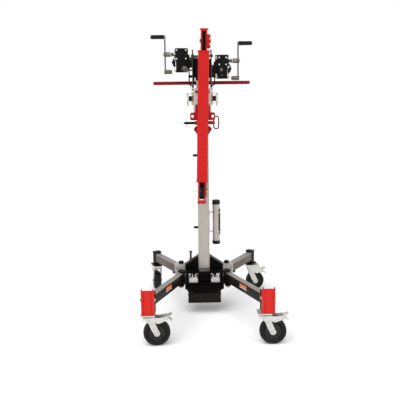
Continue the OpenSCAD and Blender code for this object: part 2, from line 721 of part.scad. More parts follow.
module fork(wr, ww, h, trail) {
    cheek_t = 4;
    cheek_in = ww / 2 + 3;
    top = h - 12;
    horn_x = horn_at(wr, trail)[0];
    horn_z = horn_at(wr, trail)[1];
    for (k = [-1, 1]) difference() {
        plate_xz(k > 0 ? cheek_in : -cheek_in - cheek_t, k > 0 ? cheek_in + cheek_t : -cheek_in) {
            // leg of the cheek down to the axle
            polygon([[-30, top], [-30, top - 8], [-22, top - 16], [trail - 44, wr + 58],
                     [trail - 28, wr + 17], [trail - 16, wr - 3], [trail + 16, wr + 2],
                     [trail - 14, wr + 72], [32, top]]);
            translate([trail, wr]) circle(r = 17);
            // arm that carries the brake pedal
            polygon([[20, top], [60, top - 3], [horn_x - 4, horn_z + 10], [horn_x + 8, horn_z + 5],
                     [horn_x + 8, horn_z - 6], [horn_x - 8, horn_z - 14], [trail + 24, wr + 61],
                     [trail + 8, wr + 55], [trail - 6, wr + 62], [trail - 22, wr + 60]]);
        }
        cyl_y(-60, 60, horn_x, horn_z, 4 + fit);
    }
    // crown plate with its turned-down back edge, and the bearing race
    difference() {
        union() {
            bar_box(-30, 34, -cheek_in - cheek_t, cheek_in + cheek_t, top - 4, top);
            bar_box(-30, -26, -cheek_in - cheek_t, cheek_in + cheek_t, top - 17, top);
            cyl_z(top - 1, top + 3.5, 0, 0, 29);
        }
        cyl_z(top - 20, top + 20, 0, 0, kingpin_r + 0.4);
    }
    // kingpin
    cyl_z(top - 8, h + 2, 0, 0, kingpin_r);
    cyl_z(top - 12, top - 4, 0, 0, 10);
    // axle with nuts
    cyl_y(-cheek_in - cheek_t, cheek_in + cheek_t, trail, wr, axle_r);
    hex_y(-cheek_in - cheek_t - 6, -cheek_in - cheek_t, trail, wr, 8.5);
    hex_y(cheek_in + cheek_t, cheek_in + cheek_t + 6, trail, wr, 8.5);
}

module wheel(wr, ww, trail) translate([trail, 0, wr]) rotate([90, 0, 0])
    difference() {
        rotate_extrude($fn = 72) polygon([[2, -ww / 2 - 2], [15, -ww / 2 - 2], [17, -ww / 2 + 3],
            [wr * 0.62, -ww / 2 + 7], [wr * 0.7, -ww / 2 + 1], [wr * 0.9, -ww / 2],
            [wr * 0.965, -ww / 2 + 3], [wr - 0.4, -ww / 2 + 9], [wr, 0],
            [wr - 0.4, ww / 2 - 9], [wr * 0.965, ww / 2 - 3], [wr * 0.9, ww / 2],
            [wr * 0.7, ww / 2 - 1], [wr * 0.62, ww / 2 - 7], [17, ww / 2 - 3],
            [15, ww / 2 + 2], [2, ww / 2 + 2]]);
        cylinder(r = axle_r + fit, h = ww + 20, center = true);
    }

// Brake pedal with its two levers and the shoe over the wheel
module pedal(wr, ww, trail) {
    horn_x = horn_at(wr, trail)[0];
    horn_z = horn_at(wr, trail)[1];
    half = ww / 2 + 2;
    shoe = norm([horn_x - trail, horn_z - wr]) - wr - 1.8;
    cyl_y(-half - 7, half + 7, horn_x, horn_z, 4);
    cyl_y(-half, half, horn_x, horn_z, 8);
    // upper lever that sets the brake
    plate_xz(-half + 3, half - 3)
        polygon([[horn_x - 6, horn_z + 4], [horn_x - 2, horn_z + 10], [horn_x + 10, horn_z + 14],
                 [horn_x + 27, horn_z + 20], [horn_x + 28, horn_z + 16.5],
                 [horn_x + 12, horn_z + 10], [horn_x + 6, horn_z + 2]]);
    // lower lever that frees it
    plate_xz(-half + 8, half - 8)
        polygon([[horn_x + 4, horn_z - 5], [horn_x + 7, horn_z + 2], [horn_x + 30, horn_z - 16],
                 [horn_x + 29, horn_z - 20], [horn_x + 24, horn_z - 21]]);
    plate_xz(-half + 10, half - 10)
        polygon([[horn_x - 7, horn_z - 3], [horn_x + 7, horn_z - 3], [horn_x + 2, horn_z - shoe + 2],
                 [horn_x - 5, horn_z - shoe], [horn_x - 10, horn_z - shoe + 7]]);
}

// Places a caster part: s is -1 for left and 1 for right, heading the trail's direction
module front_place(s, heading)
    translate([swivel_x(s), swivel_y, 0]) rotate([0, 0, heading]) children();
module rear_place(s, heading)
    translate([s * pivot_x + (rear_leg - kingpin_in) * cos(rear_dir(s)),
               pivot_y + (rear_leg - kingpin_in) * sin(rear_dir(s)), 0])
        rotate([0, 0, heading]) children();

module fork_fl() color([0.82, 0.82, 0.79]) at_base()
    front_place(-1, head_fl) fork(front_wheel_r, front_wheel_w, front_h, front_trail);
module fork_fr() color([0.82, 0.82, 0.79]) at_base()
    front_place(1, head_fr) fork(front_wheel_r, front_wheel_w, front_h, front_trail);
module fork_rl() color([0.82, 0.82, 0.79]) at_base()
    rear_place(-1, head_rl) fork(rear_wheel_r, rear_wheel_w, rear_h, rear_trail);
module fork_rr() color([0.82, 0.82, 0.79]) at_base()
    rear_place(1, head_rr) fork(rear_wheel_r, rear_wheel_w, rear_h, rear_trail);

module wheel_fl() color([0.05, 0.05, 0.05]) at_base()
    front_place(-1, head_fl) wheel(front_wheel_r, front_wheel_w, front_trail);
module wheel_fr() color([0.05, 0.05, 0.05]) at_base()
    front_place(1, head_fr) wheel(front_wheel_r, front_wheel_w, front_trail);
module wheel_rl() color([0.05, 0.05, 0.05]) at_base()
    rear_place(-1, head_rl) wheel(rear_wheel_r, rear_wheel_w, rear_trail);
module wheel_rr() color([0.05, 0.05, 0.05]) at_base()
    rear_place(1, head_rr) wheel(rear_wheel_r, rear_wheel_w, rear_trail);

module pedal_fl() color([0.8, 0.8, 0.78]) at_base()
    front_place(-1, head_fl) pedal(front_wheel_r, front_wheel_w, front_trail);
module pedal_fr() color([0.8, 0.8, 0.78]) at_base()
    front_place(1, head_fr) pedal(front_wheel_r, front_wheel_w, front_trail);
module pedal_rl() color([0.8, 0.8, 0.78]) at_base()
    rear_place(-1, head_rl) pedal(rear_wheel_r, rear_wheel_w, rear_trail);
module pedal_rr() color([0.8, 0.8, 0.78]) at_base()
    rear_place(1, head_rr) pedal(rear_wheel_r, rear_wheel_w, rear_trail);

// ---------- sliding mast, carriage and collar ----------
module mast_inner() color([0.8, 0.78, 0.76]) at_base() {
    square_tube(inner_w, inner_wall, inner_low, inner_top + 1, 2);
    bar_box(-66, 66, -32, 30, inner_top, inner_top + head_t);
    for (s = [-1, 1]) {
        cyl_z(1392, 1625, s * rod_x, rod_y, rod_r);
        hex_z(inner_top + head_t, inner_top + head_t + 7, s * rod_x, rod_y, 8);
        hex_z(ear_level + 8, ear_level + 15, s * rod_x, rod_y, 8);
        hex_z(1386, 1394, s * rod_x, rod_y, 8);
    }
}

module carriage() color([0.78, 0.77, 0.75]) at_base() {
    half = carriage_w / 2;
    difference() {
        union() {
            for (s = [-1, 1]) {
                bar_box(s * (half - car_side_t / 2) - car_side_t / 2,
                        s * (half - car_side_t / 2) + car_side_t / 2,
                        -car_front, car_back, car_low, car_high);
                // flared ears that the tie rods hang from
                bar_box(s * (half + 5) - 7, s * (half + 5) + 7, -22, 10, ear_level - 2, ear_level + 8);
                bar_box(s * (half - 1) - 2, s * (half - 1) + 4, -40, 18, 1379, 1398);
            }
            bar_box(-half, half, -car_front, -car_front + car_web_t, car_low, car_high);
        }
        for (s = [-1, 1]) {
            cyl_z(1360, 1420, s * rod_x, rod_y, rod_r + fit);
            bar_box(s * rod_x - 9, s * rod_x + 9, rod_y - 9, rod_y + 9, 1340, 1394.2);
        }
    }
}

// Side bracket with its roller pin, left side
module roller_block() {
    half = carriage_w / 2;
    bar_box(-half - 12, -half, roll_y - 14, roll_y + 14, roll_z - 18, roll_z + 18);
    for (z = [roll_z - 29, roll_z + 29]) {
        bar_box(-half - 8, -half, roll_y - 11, roll_y + 11, z - 11.5, z + 11.5);
        hex_x(-half - 14, -half - 7, roll_y, z, 7);
    }
    // outer plate with its turned tips
    bar_box(-half - 40, -half - 29, roll_y - 16, roll_y + 16, roll_z - 20, roll_z + 22);
    for (z = [roll_z - 24, roll_z + 24])
        bar_box(-half - 47, -half - 26, roll_y - 16, roll_y + 16, z - 2.5, z + 2.5);
    bar_box(-half - 38, -half - 31, roll_y - 8, roll_y + 8, roll_z - 26, roll_z + 26);
    cyl_z(roll_z - 44, roll_z - 20, -half - 35, roll_y, 5);
    hex_z(roll_z + 26, roll_z + 34, -half - 35, roll_y, 7);
    cyl_x(-half - 30, -half - 11, roll_y, roll_z, roll_pin);
    bar_box(-half - 30, -half - 11, roll_y + 16.6, roll_y + 19, roll_z - 16, roll_z + 16);
    bar_box(-half - 12, -half, roll_y + 12, roll_y + 19, roll_z - 16, roll_z + 16);
}
module roller_blocks() color([0.72, 0.6, 0.36]) at_base() {
    roller_block();
    mirror([1, 0, 0]) roller_block();
}

module roller() difference() {
    cyl_x(-carriage_w / 2 - 28.5, -carriage_w / 2 - 13.5, roll_y, roll_z, roll_r);
    cyl_x(-carriage_w / 2 - 30, -carriage_w / 2 - 12, roll_y, roll_z, roll_pin + fit);
    translate([-carriage_w / 2 - 21, roll_y, roll_z]) rotate([0, 90, 0]) rotate_extrude()
        translate([roll_r + 1.5, 0]) circle(r = 4);
}
module roller_left() color([0.04, 0.04, 0.04]) at_base() roller();
module roller_right() color([0.04, 0.04, 0.04]) at_base() mirror([1, 0, 0]) roller();

module collar_outline() {
    translate([0, lug_z]) {
        translate([-41, -22]) square([82, 77]);
        for (s = [-1, 1]) {
            translate([s > 0 ? 35 : -lug_x - 4, -23]) square([lug_x - 31, 46]);
            translate([s > 0 ? 35 : -lug_x - 15, -12]) square([lug_x - 20, 24]);
            for (k = [-1, 1]) translate([s * (lug_x + 4), k * 12]) circle(r = 11);
        }
    }
    translate([-33, 1126]) square([66, 110]);
    polygon([[-33, 1180], [-50, 1168], [-54, 1158], [-52, 1152], [-31, 1121], [31, 1121],
             [52, 1152], [54, 1158], [50, 1168], [33, 1180]]);
}

module collar() color([0.83, 0.13, 0.11]) at_base() difference() {
    union() {
        plate_xz(-collar_back - collar_t, -collar_back) collar_outline();
        // pivot boss and stud for the boom
        cyl_y(boom_back + side_gap, -collar_back - collar_t + 1, 0, pivot_z, boss_r);
        cyl_y(boom_back - boom_wall - 2, boom_back + 2, 0, pivot_z, stud_r);
        cyl_y(boom_back - boom_wall - 7, boom_back - boom_wall - side_gap, 0, pivot_z, 19);
        // saddle blocks behind the boom
        for (s = [-1, 1])
            bar_box(s * 38 - 5, s * 38 + 5, boom_back + 1, -collar_back - 4, 1220, 1292);
        // hitch pin boss
        cyl_x(-46, -30, pin_y, pin_z, 12);
        bar_box(-44, -30, pin_y - 2, -collar_back - 4, pin_z - 10, pin_z + 10);
        // tab and barrel that hold the link
        bar_box(30, ring_x, -collar_back - collar_t, -collar_back, 1186, 1206);
        bar_box(ring_x - 6, ring_x + 4, -collar_back - 3, ring_y, 1186, 1206);
        cyl_z(1186, 1206, ring_x, ring_y, 6.5);
    }
    for (s = [-1, 1]) cyl_y(-collar_back - 40, -collar_back + 5, s * lug_x, lug_z, lug_hole_r);
    cyl_x(-60, -34, pin_y, pin_z, pin_r + fit);
    cyl_z(1180, 1210, ring_x, ring_y, ring_wire + fit);
}

module link_ring() color([0.42, 0.1, 0.07]) at_base() {
    half = 14.5;
    low = 1173;
    high = 1219;
    for (x = [ring_x, ring_x + 2 * half]) cyl_z(low, high, x, ring_y, ring_wire);
    for (k = [0, 1])
        translate([ring_x + half, ring_y, k == 0 ? low : high])
            rotate([k == 0 ? -90 : 90, 0, 0])
                rotate_extrude(angle = 180) translate([half, 0]) circle(r = ring_wire);
}

module hitch_pin() color([0.05, 0.05, 0.05]) at_base() {
    clip = 1.3;
    cyl_x(-108, -34.5, pin_y, pin_z, pin_r);
    cyl_x(-113, -107, pin_y, pin_z, pin_r - 2);
    // wire clip through the pin
    cyl_z(pin_z - 26, pin_z + 26, -100, pin_y, clip);
    translate([-100, pin_y, pin_z - 13]) rotate([0, 118, 0]) cylinder(r = clip, h = 30);
    translate([-100, pin_y, pin_z - 26]) sphere(r = 1.9);
    translate([-100, pin_y, pin_z + 26]) sphere(r = 1.9);
}

// ---------- boom, drawn upright about its pivot and leaned into its rest pose ----------
module lean() translate([0, 0, pivot_z]) rotate([0, boom_lean, 0]) translate([0, 0, -pivot_z]) children();

up_axle_z = boom_high + 55;
low_axle_z = boom_low - 58;
up_half = 18.5;
low_half = 21.5;
slot_up = 9.5;
slot_low = 15;
top_sheave_r = sheave_r + 5;
br_y0 = boom_y - 27;
br_y1 = boom_y + 27;

module boom() color([0.83, 0.13, 0.11]) at_base() lean() difference() {
    union() {
        translate([0, boom_y, 0]) square_tube(boom_w, boom_wall, boom_low + 6, boom_high - 6, 5);
        // end plates
        translate([0, boom_y, boom_high - 7]) linear_extrude(7) round_rect(boom_w + 7, boom_w + 7, 3);
        translate([0, boom_y, boom_low]) linear_extrude(7) round_rect(boom_w + 5, boom_w + 6, 3);
        // upper cheeks, bridge and flared cap
        for (s = [-1, 1])
            bar_box(s * (up_half + slot_up) / 2 - (up_half - slot_up) / 2,
                    s * (up_half + slot_up) / 2 + (up_half - slot_up) / 2,
                    br_y0, br_y1, boom_high - 2, boom_high + 117);
        bar_box(-up_half, up_half, br_y0, br_y1, boom_high + 108, boom_high + 118);
        translate([0, boom_y, boom_high + 117]) linear_extrude(5) round_rect(49, 60, 3);
        // lobed side plate with its bolts' pads
        bar_box(up_half - 1, up_half + 12, boom_y - 20, boom_y + 14, boom_high + 18, boom_high + 86);
        for (z = [24, 52, 80])
            cyl_x(up_half - 1, up_half + 17, boom_y - 3, boom_high + z, 12);
        // lower cheeks, right one doubled, and the bottom plate
        for (s = [-1, 1])
            bar_box(s * (low_half + slot_low) / 2 - (low_half - slot_low) / 2,
                    s * (low_half + slot_low) / 2 + (low_half - slot_low) / 2,
                    br_y0, br_y1, boom_low - 124, boom_low + 2);
        bar_box(low_half - 1, low_half + 5, boom_y - 22, boom_y + 22, boom_low - 92, boom_low);
        bar_box(-low_half, low_half, br_y0, br_y1, boom_low - 126, boom_low - 114);
        translate([0, boom_y, boom_low - 130]) linear_extrude(5) round_rect(52, 60, 3);
    }
    // opening for the pivot stud in the back wall
    cyl_y(boom_back - boom_wall - 3, boom_back + 3, 0, pivot_z, stud_r + fit);
    // axle holes
    cyl_x(-40, 50, boom_y, up_axle_z, 8.02);
    cyl_x(-40, 50, boom_y, low_axle_z, 8.02);
}

module sheave(z, w, r) translate([0, boom_y, z]) rotate([0, 90, 0]) difference() {
    rotate_extrude($fn = 72) polygon([[2, -w / 2], [18, -w / 2], [18, -w / 2 + 2],
        [r - 8, -w / 2 + 2], [r, -w / 2], [r, -w / 2 + 1.6],
        [r - 7, 0], [r, w / 2 - 1.6], [r, w / 2],
        [r - 8, w / 2 - 2], [18, w / 2 - 2], [18, w / 2], [2, w / 2]]);
    cylinder(r = 8 + fit, h = w + 10, center = true);
}
module sheave_top() color([0.3, 0.3, 0.3]) at_base() lean()
    sheave(up_axle_z, 2 * slot_up - 2, top_sheave_r);
module sheave_low() color([0.3, 0.3, 0.3]) at_base() lean()
    sheave(low_axle_z, 2 * slot_low - 3, sheave_r);

module boom_hardware() color([0.8, 0.74, 0.6]) at_base() lean() {
    // upper axle and nuts
    cyl_x(-up_half - 1, up_half + 19, boom_y, up_axle_z, 8);
    hex_x(-up_half - 6, -up_half, boom_y, up_axle_z, 10);
    hex_x(up_half + 17, up_half + 22, boom_y, up_axle_z, 10);
    // bolts of the lobed plate
    for (z = [24, 80]) hex_x(up_half + 17, up_half + 22, boom_y - 3, boom_high + z, 6.5);
    // lower axle with its ringed pin
    cyl_x(-low_half - 3, low_half + 8, boom_y, low_axle_z, 8);
    hex_x(low_half + 5, low_half + 12, boom_y, low_axle_z, 9);
    cyl_x(-low_half - 22, -low_half - 2, boom_y, low_axle_z, 2.2);
    translate([-low_half - 26, boom_y, low_axle_z]) rotate([90, 0, 0]) rotate_extrude()
        translate([5, 0]) circle(r = 1.4, $fn = 16);
    // spacer roll above the bottom plate
    cyl_x(-slot_low + 0.2, slot_low - 0.2, boom_y - 20, boom_low - 107, 6);
}

// ---------- draw ----------
hub_frame();
hub_gussets();
hub_box();
lock_blocks();
lock_pin_left();
lock_pin_right();
leg_plunger();
mast_outer();
mast_fittings();
winch_bracket();
winch_cases();
base_bolts();
push_bar();
tube_mount();
document_tube();
tube_cap();
crank_left();
grip_left();
drum_left();
crank_right();
grip_right();
drum_right();
leg_fl();
leg_fr();
leg_rl();
leg_rr();
end_fl();
end_fr();
end_rl();
end_rr();
post_fl();
post_fr();
casting_rl();
casting_rr();
knob_rl();
knob_rr();
fork_fl();
fork_fr();
fork_rl();
fork_rr();
wheel_fl();
wheel_fr();
wheel_rl();
wheel_rr();
pedal_fl();
pedal_fr();
pedal_rl();
pedal_rr();
mast_inner();
carriage();
roller_blocks();
roller_left();
roller_right();
collar();
link_ring();
hitch_pin();
boom();
sheave_top();
sheave_low();
boom_hardware();
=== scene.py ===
# Looks of a winch-operated material lift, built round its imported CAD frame.
import math

import bmesh
import bpy
from mathutils import Matrix, Vector


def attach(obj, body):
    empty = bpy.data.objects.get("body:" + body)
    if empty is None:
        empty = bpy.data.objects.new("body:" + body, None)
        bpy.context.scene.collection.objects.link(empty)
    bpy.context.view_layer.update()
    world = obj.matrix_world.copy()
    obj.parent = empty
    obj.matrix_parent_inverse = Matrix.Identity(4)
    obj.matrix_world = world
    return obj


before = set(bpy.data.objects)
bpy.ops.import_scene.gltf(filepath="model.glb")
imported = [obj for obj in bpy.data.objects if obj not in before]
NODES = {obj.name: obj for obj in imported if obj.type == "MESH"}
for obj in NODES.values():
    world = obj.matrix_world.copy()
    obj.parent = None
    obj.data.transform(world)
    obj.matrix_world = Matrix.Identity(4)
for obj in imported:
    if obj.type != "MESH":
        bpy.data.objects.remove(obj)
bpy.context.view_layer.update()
# Front left, front right, rear left and rear right
CORNERS = ("fl", "fr", "rl", "rr")

# Millimetres from the mast's axis to the frame's own origin
SHIFT = Vector((-42.0, 35.0, 0.0))
MM = Matrix.Translation(SHIFT / 1000) @ Matrix.Diagonal((0.001, 0.001, 0.001, 1))
STILL = Matrix()


def turn(degrees, axis):
    return Matrix.Rotation(math.radians(degrees), 4, axis)


def move(x, y, z):
    return Matrix.Translation((x, y, z))


# Local +Z turned to face each way
TO_RIGHT = turn(90, "Y")
TO_LEFT = turn(-90, "Y")
TO_FRONT = turn(90, "X")
TO_BACK = turn(-90, "X")
UPSIDE_DOWN = turn(180, "X")


# ---------- camera, light and floor ----------
# Sensor and lens in millimetres, the eye's place, and its heading, pitch and roll
SENSOR, LENS = 36, 53.39
EYE = Vector((-74.8, -3635.0, 1392.2))
CAMERA_TURN = turn(-0.848, "Z") @ turn(79.442, "X") @ turn(-0.696, "Z")


def add_camera():
    data = bpy.data.cameras.new("camera")
    data.sensor_width = SENSOR
    data.lens = LENS
    data.clip_end = 100
    camera = bpy.data.objects.new("camera", data)
    bpy.context.scene.collection.objects.link(camera)
    camera.matrix_world = Matrix.Translation((EYE + SHIFT) / 1000) @ CAMERA_TURN
    bpy.context.scene.camera = camera


def add_lamp(name, kind, energy, place, aim, **settings):
    data = bpy.data.lights.new(name, kind)
    data.energy = energy
    for key, value in settings.items():
        setattr(data, key, value)
    lamp = bpy.data.objects.new(name, data)
    lamp.location = place
    lamp.rotation_euler = (Vector(aim) - Vector(place)).to_track_quat("-Z", "Y").to_euler()
    bpy.context.scene.collection.objects.link(lamp)


def add_studio():
    world = bpy.data.worlds.new("studio")
    bpy.context.scene.world = world
    world.use_nodes = True
    tree = world.node_tree
    coord = tree.nodes.new("ShaderNodeTexCoord")
    split = tree.nodes.new("ShaderNodeSeparateXYZ")
    ramp = tree.nodes.new("ShaderNodeValToRGB")
    ramp.color_ramp.elements[0].position = 0.22
    ramp.color_ramp.elements[0].color = (1.0, 1.0, 1.0, 1)
    ramp.color_ramp.elements[1].position = 0.75
    ramp.color_ramp.elements[1].color = (0.36, 0.36, 0.37, 1)
    tree.links.new(coord.outputs["Generated"], split.inputs[0])
    tree.links.new(split.outputs["Z"], ramp.inputs[0])
    tree.links.new(ramp.outputs[0], tree.nodes["Background"].inputs[0])
    add_lamp("key", "SUN", 2.0, (-1.3, -2.2, 5.6), (0, 0, 0.7), angle=math.radians(55))
    add_lamp("fill", "AREA", 30, (3.4, -1.5, 1.6), (0, 0, 0.9), size=1.6)
    bpy.context.scene.view_settings.view_transform = "Standard"


def add_floor():
    bm = bmesh.new()
    bmesh.ops.create_circle(bm, cap_ends=True, segments=96, radius=60)
    mesh = bpy.data.meshes.new("floor")
    bm.to_mesh(mesh)
    bm.free()
    floor = bpy.data.objects.new("floor", mesh)
    bpy.context.scene.collection.objects.link(floor)
    mesh.materials.append(finish("studio_floor", (0.985, 0.985, 0.985), 0.9, level=0.0, vary=0.005,
                                 grain=0.0, edge=0.0))


# ---------- surfaces ----------
class Graph:
    def __init__(self, name):
        self.material = bpy.data.materials.new(name)
        self.material.use_nodes = True
        self.tree = self.material.node_tree
        self.tree.nodes.clear()

    def add(self, kind, settings=None, **inputs):
        node = self.tree.nodes.new(kind)
        for key, value in (settings or {}).items():
            setattr(node, key, value)
        for key, value in inputs.items():
            socket = node.inputs[int(key[1:])] if key[0] == "i" and key[1:].isdigit() \
                else node.inputs[key.replace("_", " ")]
            if isinstance(value, bpy.types.NodeSocket):
                self.tree.links.new(value, socket)
            else:
                socket.default_value = value
        return node

    def noise(self, vector, scale, detail=3.0, roughness=0.55):
        return self.add("ShaderNodeTexNoise", Vector=vector, Scale=scale, Detail=detail,
                        Roughness=roughness).outputs["Fac"]

    def band(self, value, low, high, to_low=0.0, to_high=1.0):
        return self.add("ShaderNodeMapRange", i0=value, i1=low, i2=high, i3=to_low,
                        i4=to_high).outputs[0]

    def times(self, a, b):
        return self.add("ShaderNodeMath", {"operation": "MULTIPLY"}, i0=a, i1=b).outputs[0]

    def mix(self, amount, first, second):
        first, second = [c if isinstance(c, bpy.types.NodeSocket) else (*c, 1)
                         for c in (first, second)]
        return self.add("ShaderNodeMixRGB", Fac=amount, Color1=first, Color2=second).outputs[0]


def finish(name, base, rough, metal=0.0, level=0.5, coat=0.0, vary=0.12, vary_scale=12.0,
           grain=0.12, grain_scale=900.0, stretch=(1, 1, 1), wear=None, wear_share=0.6,
           tint=None, tint_scale=30.0, tint_share=0.5, edge=1.1, dust=0.0, rough_vary=0.09,
           depth=0.4, relief=None):
    """A procedural surface: patchy colour, uneven gloss, grain, worn edges and a little dust."""
    g = Graph(name)
    where = g.add("ShaderNodeTexCoord").outputs["Object"]
    laid = g.add("ShaderNodeMapping", Vector=where, Scale=stretch).outputs[0]
    patches = g.noise(where, vary_scale, 4.0)
    fine = g.noise(laid, grain_scale, 2.0)
    low = [c * (1 - vary) for c in base]
    high = [min(1.0, c * (1 + vary)) for c in base]
    colour = g.mix(g.band(patches, 0.3, 0.7), low, high)
    streaks = g.noise(laid, grain_scale * 0.25, 3.0)
    colour = g.mix(g.band(streaks, 0.35, 0.75, 0.0, 0.35), colour, [c * (1 - vary) for c in low])
    if tint is not None:
        spots = g.band(g.noise(where, tint_scale, 5.0), 0.5, 0.68, 0.0, tint_share)
        colour = g.mix(spots, colour, tint)
    gloss = g.band(g.noise(laid, vary_scale * 4, 3.0), 0.3, 0.7, rough - rough_vary,
                   rough + rough_vary)
    normal = g.add("ShaderNodeNewGeometry").outputs["Normal"]
    if dust:
        up = g.add("ShaderNodeSeparateXYZ", Vector=normal).outputs["Z"]
        settled = g.times(g.band(up, 0.55, 1.0), g.band(g.noise(where, 22, 5.0), 0.35, 0.7, 0, dust))
        colour = g.mix(settled, colour, (0.34, 0.33, 0.31))
    rounded = None
    if edge:
        rounded = g.add("ShaderNodeBevel", {"samples": 3}, Radius=edge / 1000).outputs[0]
        if wear is not None:
            close = g.add("ShaderNodeVectorMath", {"operation": "DOT_PRODUCT"}, i0=rounded,
                          i1=normal).outputs["Value"]
            rim = g.band(close, 0.985, 0.86)
            rim = g.times(rim, g.band(g.noise(where, 55, 4.0), 0.42, 0.62, 0.05, wear_share))
            colour = g.mix(rim, colour, wear)
    height = fine
    if relief is not None:
        height = relief(g, where, fine)
    bump = {"Height": height, "Strength": grain, "Distance": depth / 1000}
    if rounded is not None:
        bump["Normal"] = rounded
    bumped = g.add("ShaderNodeBump", **bump).outputs[0]
    shader = g.add("ShaderNodeBsdfPrincipled", Base_Color=colour, Roughness=gloss, Normal=bumped)
    shader.inputs["Metallic"].default_value = metal
    shader.inputs["Specular IOR Level"].default_value = level
    shader.inputs["Coat Weight"].default_value = coat
    shader.inputs["Coat Roughness"].default_value = 0.16
    g.add("ShaderNodeOutputMaterial", Surface=shader.outputs[0])
    return g.material


def rope_relief(g, where, fine):
    """Twist of a wound wire rope, running round the drum's axis."""
    laid = g.add("ShaderNodeMapping", Vector=where, Rotation=(0.5, 0.35, 0.2)).outputs[0]
    wave = g.add("ShaderNodeTexWave", Vector=laid, Scale=160.0, Distortion=0.6).outputs["Fac"]
    return g.add("ShaderNodeMath", {"operation": "ADD"}, i0=wave, i1=fine).outputs[0]


def rib_relief(g, where, fine):
    """Fine ribs across a moulded rubber grip."""
    wave = g.add("ShaderNodeTexWave", {"bands_direction": "X"}, Vector=where, Scale=95.0,
                 Distortion=0.0).outputs["Fac"]
    return g.add("ShaderNodeMath", {"operation": "ADD"}, i0=wave, i1=fine).outputs[0]


STEEL_BARE = (0.42, 0.41, 0.39)
OXIDE = finish("oxide_brown_steel", (0.028, 0.012, 0.010), 0.40, level=0.2, vary=0.25, grain=0.2,
               wear=(0.12, 0.06, 0.05), wear_share=0.5, tint=(0.05, 0.018, 0.014), edge=0.7)
BLACK = finish("black_powder_coat", (0.0035, 0.003, 0.0026), 0.40, level=0.08, vary=0.25,
               wear=(0.11, 0.105, 0.10), wear_share=0.4, dust=0.03, grain=0.22,
               tint=(0.013, 0.012, 0.011), tint_share=0.5)
BLACK_DEEP = finish("black_hub_enamel", (0.0016, 0.0014, 0.0012), 0.42, level=0.04, vary=0.25,
                    wear=(0.05, 0.048, 0.045), wear_share=0.4, dust=0.01, grain=0.22,
                    tint=(0.004, 0.0036, 0.0033), tint_share=0.5)
BLACK_BOX = finish("black_box_paint", (0.0105, 0.0085, 0.0075), 0.44, level=0.1, vary=0.15,
                   wear=(0.08, 0.075, 0.07), wear_share=0.4, dust=0.02, grain=0.2,
                   tint=(0.016, 0.0135, 0.012), tint_share=0.5)
MACHINED = finish("machined_pinion", (0.20, 0.175, 0.145), 0.30, metal=0.8, vary=0.25, vary_scale=50,
                  grain=0.2, wear=(0.60, 0.56, 0.50), wear_share=0.6, tint=(0.10, 0.085, 0.065),
                  tint_scale=80, tint_share=0.6, edge=0.7)
BLACK_CAST = finish("black_cast_housing", (0.0035, 0.0034, 0.0032), 0.32, level=0.12, vary=0.3,
                    wear=(0.15, 0.145, 0.135), wear_share=0.5, grain=0.45, grain_scale=420,
                    tint=(0.016, 0.0155, 0.015), tint_share=0.45, dust=0.03)
BLACK_PLASTIC = finish("black_moulded_plastic", (0.006, 0.006, 0.006), 0.44, level=0.2, vary=0.2,
                       grain=0.3, grain_scale=1400, edge=0.8, dust=0.02)
# Front legs' side panels: partly their own dark finish, partly painted shade of the legs' sides under the
# lit tops
BLACK_PANEL_SHADED = finish("black_leg_panel_shaded", (0.007, 0.006, 0.0055), 0.34, level=0.2, vary=0.2,
                     tint=(0.03, 0.027, 0.024), tint_scale=70, tint_share=0.35, grain=0.1,
                     wear=(0.12, 0.115, 0.11), wear_share=0.4, edge=0.6)
RED = finish("red_powder_coat", (0.54, 0.0105, 0.0095), 0.30, level=0.17, vary=0.05, vary_scale=7,
             wear=(0.36, 0.016, 0.012), wear_share=0.3, grain=0.10, grain_scale=1100,
             tint=(0.46, 0.009, 0.008), tint_scale=11, tint_share=0.2, edge=1.8)
# Red paint darkened with painted shade, for the collar standing in shadow; its beads and the channel's
# shade lines take it too
RED_SHADED = finish("shaded_red_collar_paint", (0.40, 0.008, 0.009), 0.36, level=0.15, vary=0.12,
                    wear=(0.22, 0.012, 0.012), wear_share=0.5, grain=0.3, grain_scale=900,
                    tint=(0.28, 0.006, 0.007), tint_share=0.45, edge=1.8)
RED_BRIGHT = finish("red_channel_paint", (0.60, 0.018, 0.012), 0.36, level=0.18,
                    vary=0.08, wear=(0.34, 0.03, 0.02), wear_share=0.5, grain=0.2,
                    grain_scale=1100, tint=(0.50, 0.015, 0.011), tint_scale=12, tint_share=0.25, edge=1.6)
# Deep red darkened with painted shade, for the push bar that lies in shadow behind the winches; the
# plunger's red parts and the bar's end plugs use it too
RED_DEEP_SHADED = finish("deep_red_shaded_tube", (0.255, 0.0035, 0.0045), 0.34, level=0.12,
                  vary=0.14, wear=(0.11, 0.004, 0.004), wear_share=0.4, grain=0.15,
                  tint=(0.14, 0.003, 0.003), tint_share=0.4)
LINK_RED = finish("dark_red_link", (0.20, 0.016, 0.011), 0.42, metal=0.25, vary=0.25,
                  wear=(0.30, 0.12, 0.09), wear_share=0.6, grain=0.3, tint=(0.09, 0.02, 0.014),
                  edge=0.7)
ALUMINIUM = finish("extruded_aluminium", (0.455, 0.415, 0.375), 0.40, metal=0.55, vary=0.07,
                   stretch=(1, 1, 0.03), grain=0.10, grain_scale=620, wear=(0.70, 0.69, 0.66),
                   wear_share=0.35, tint=(0.40, 0.385, 0.36), tint_scale=9, tint_share=0.35)
LEG_METAL = finish("leg_extrusion", (0.31, 0.278, 0.248), 0.42, metal=0.5, vary=0.08,
                   grain=0.14, grain_scale=700, wear=(0.68, 0.67, 0.64), wear_share=0.4,
                   tint=(0.36, 0.345, 0.32), tint_scale=14, tint_share=0.35)
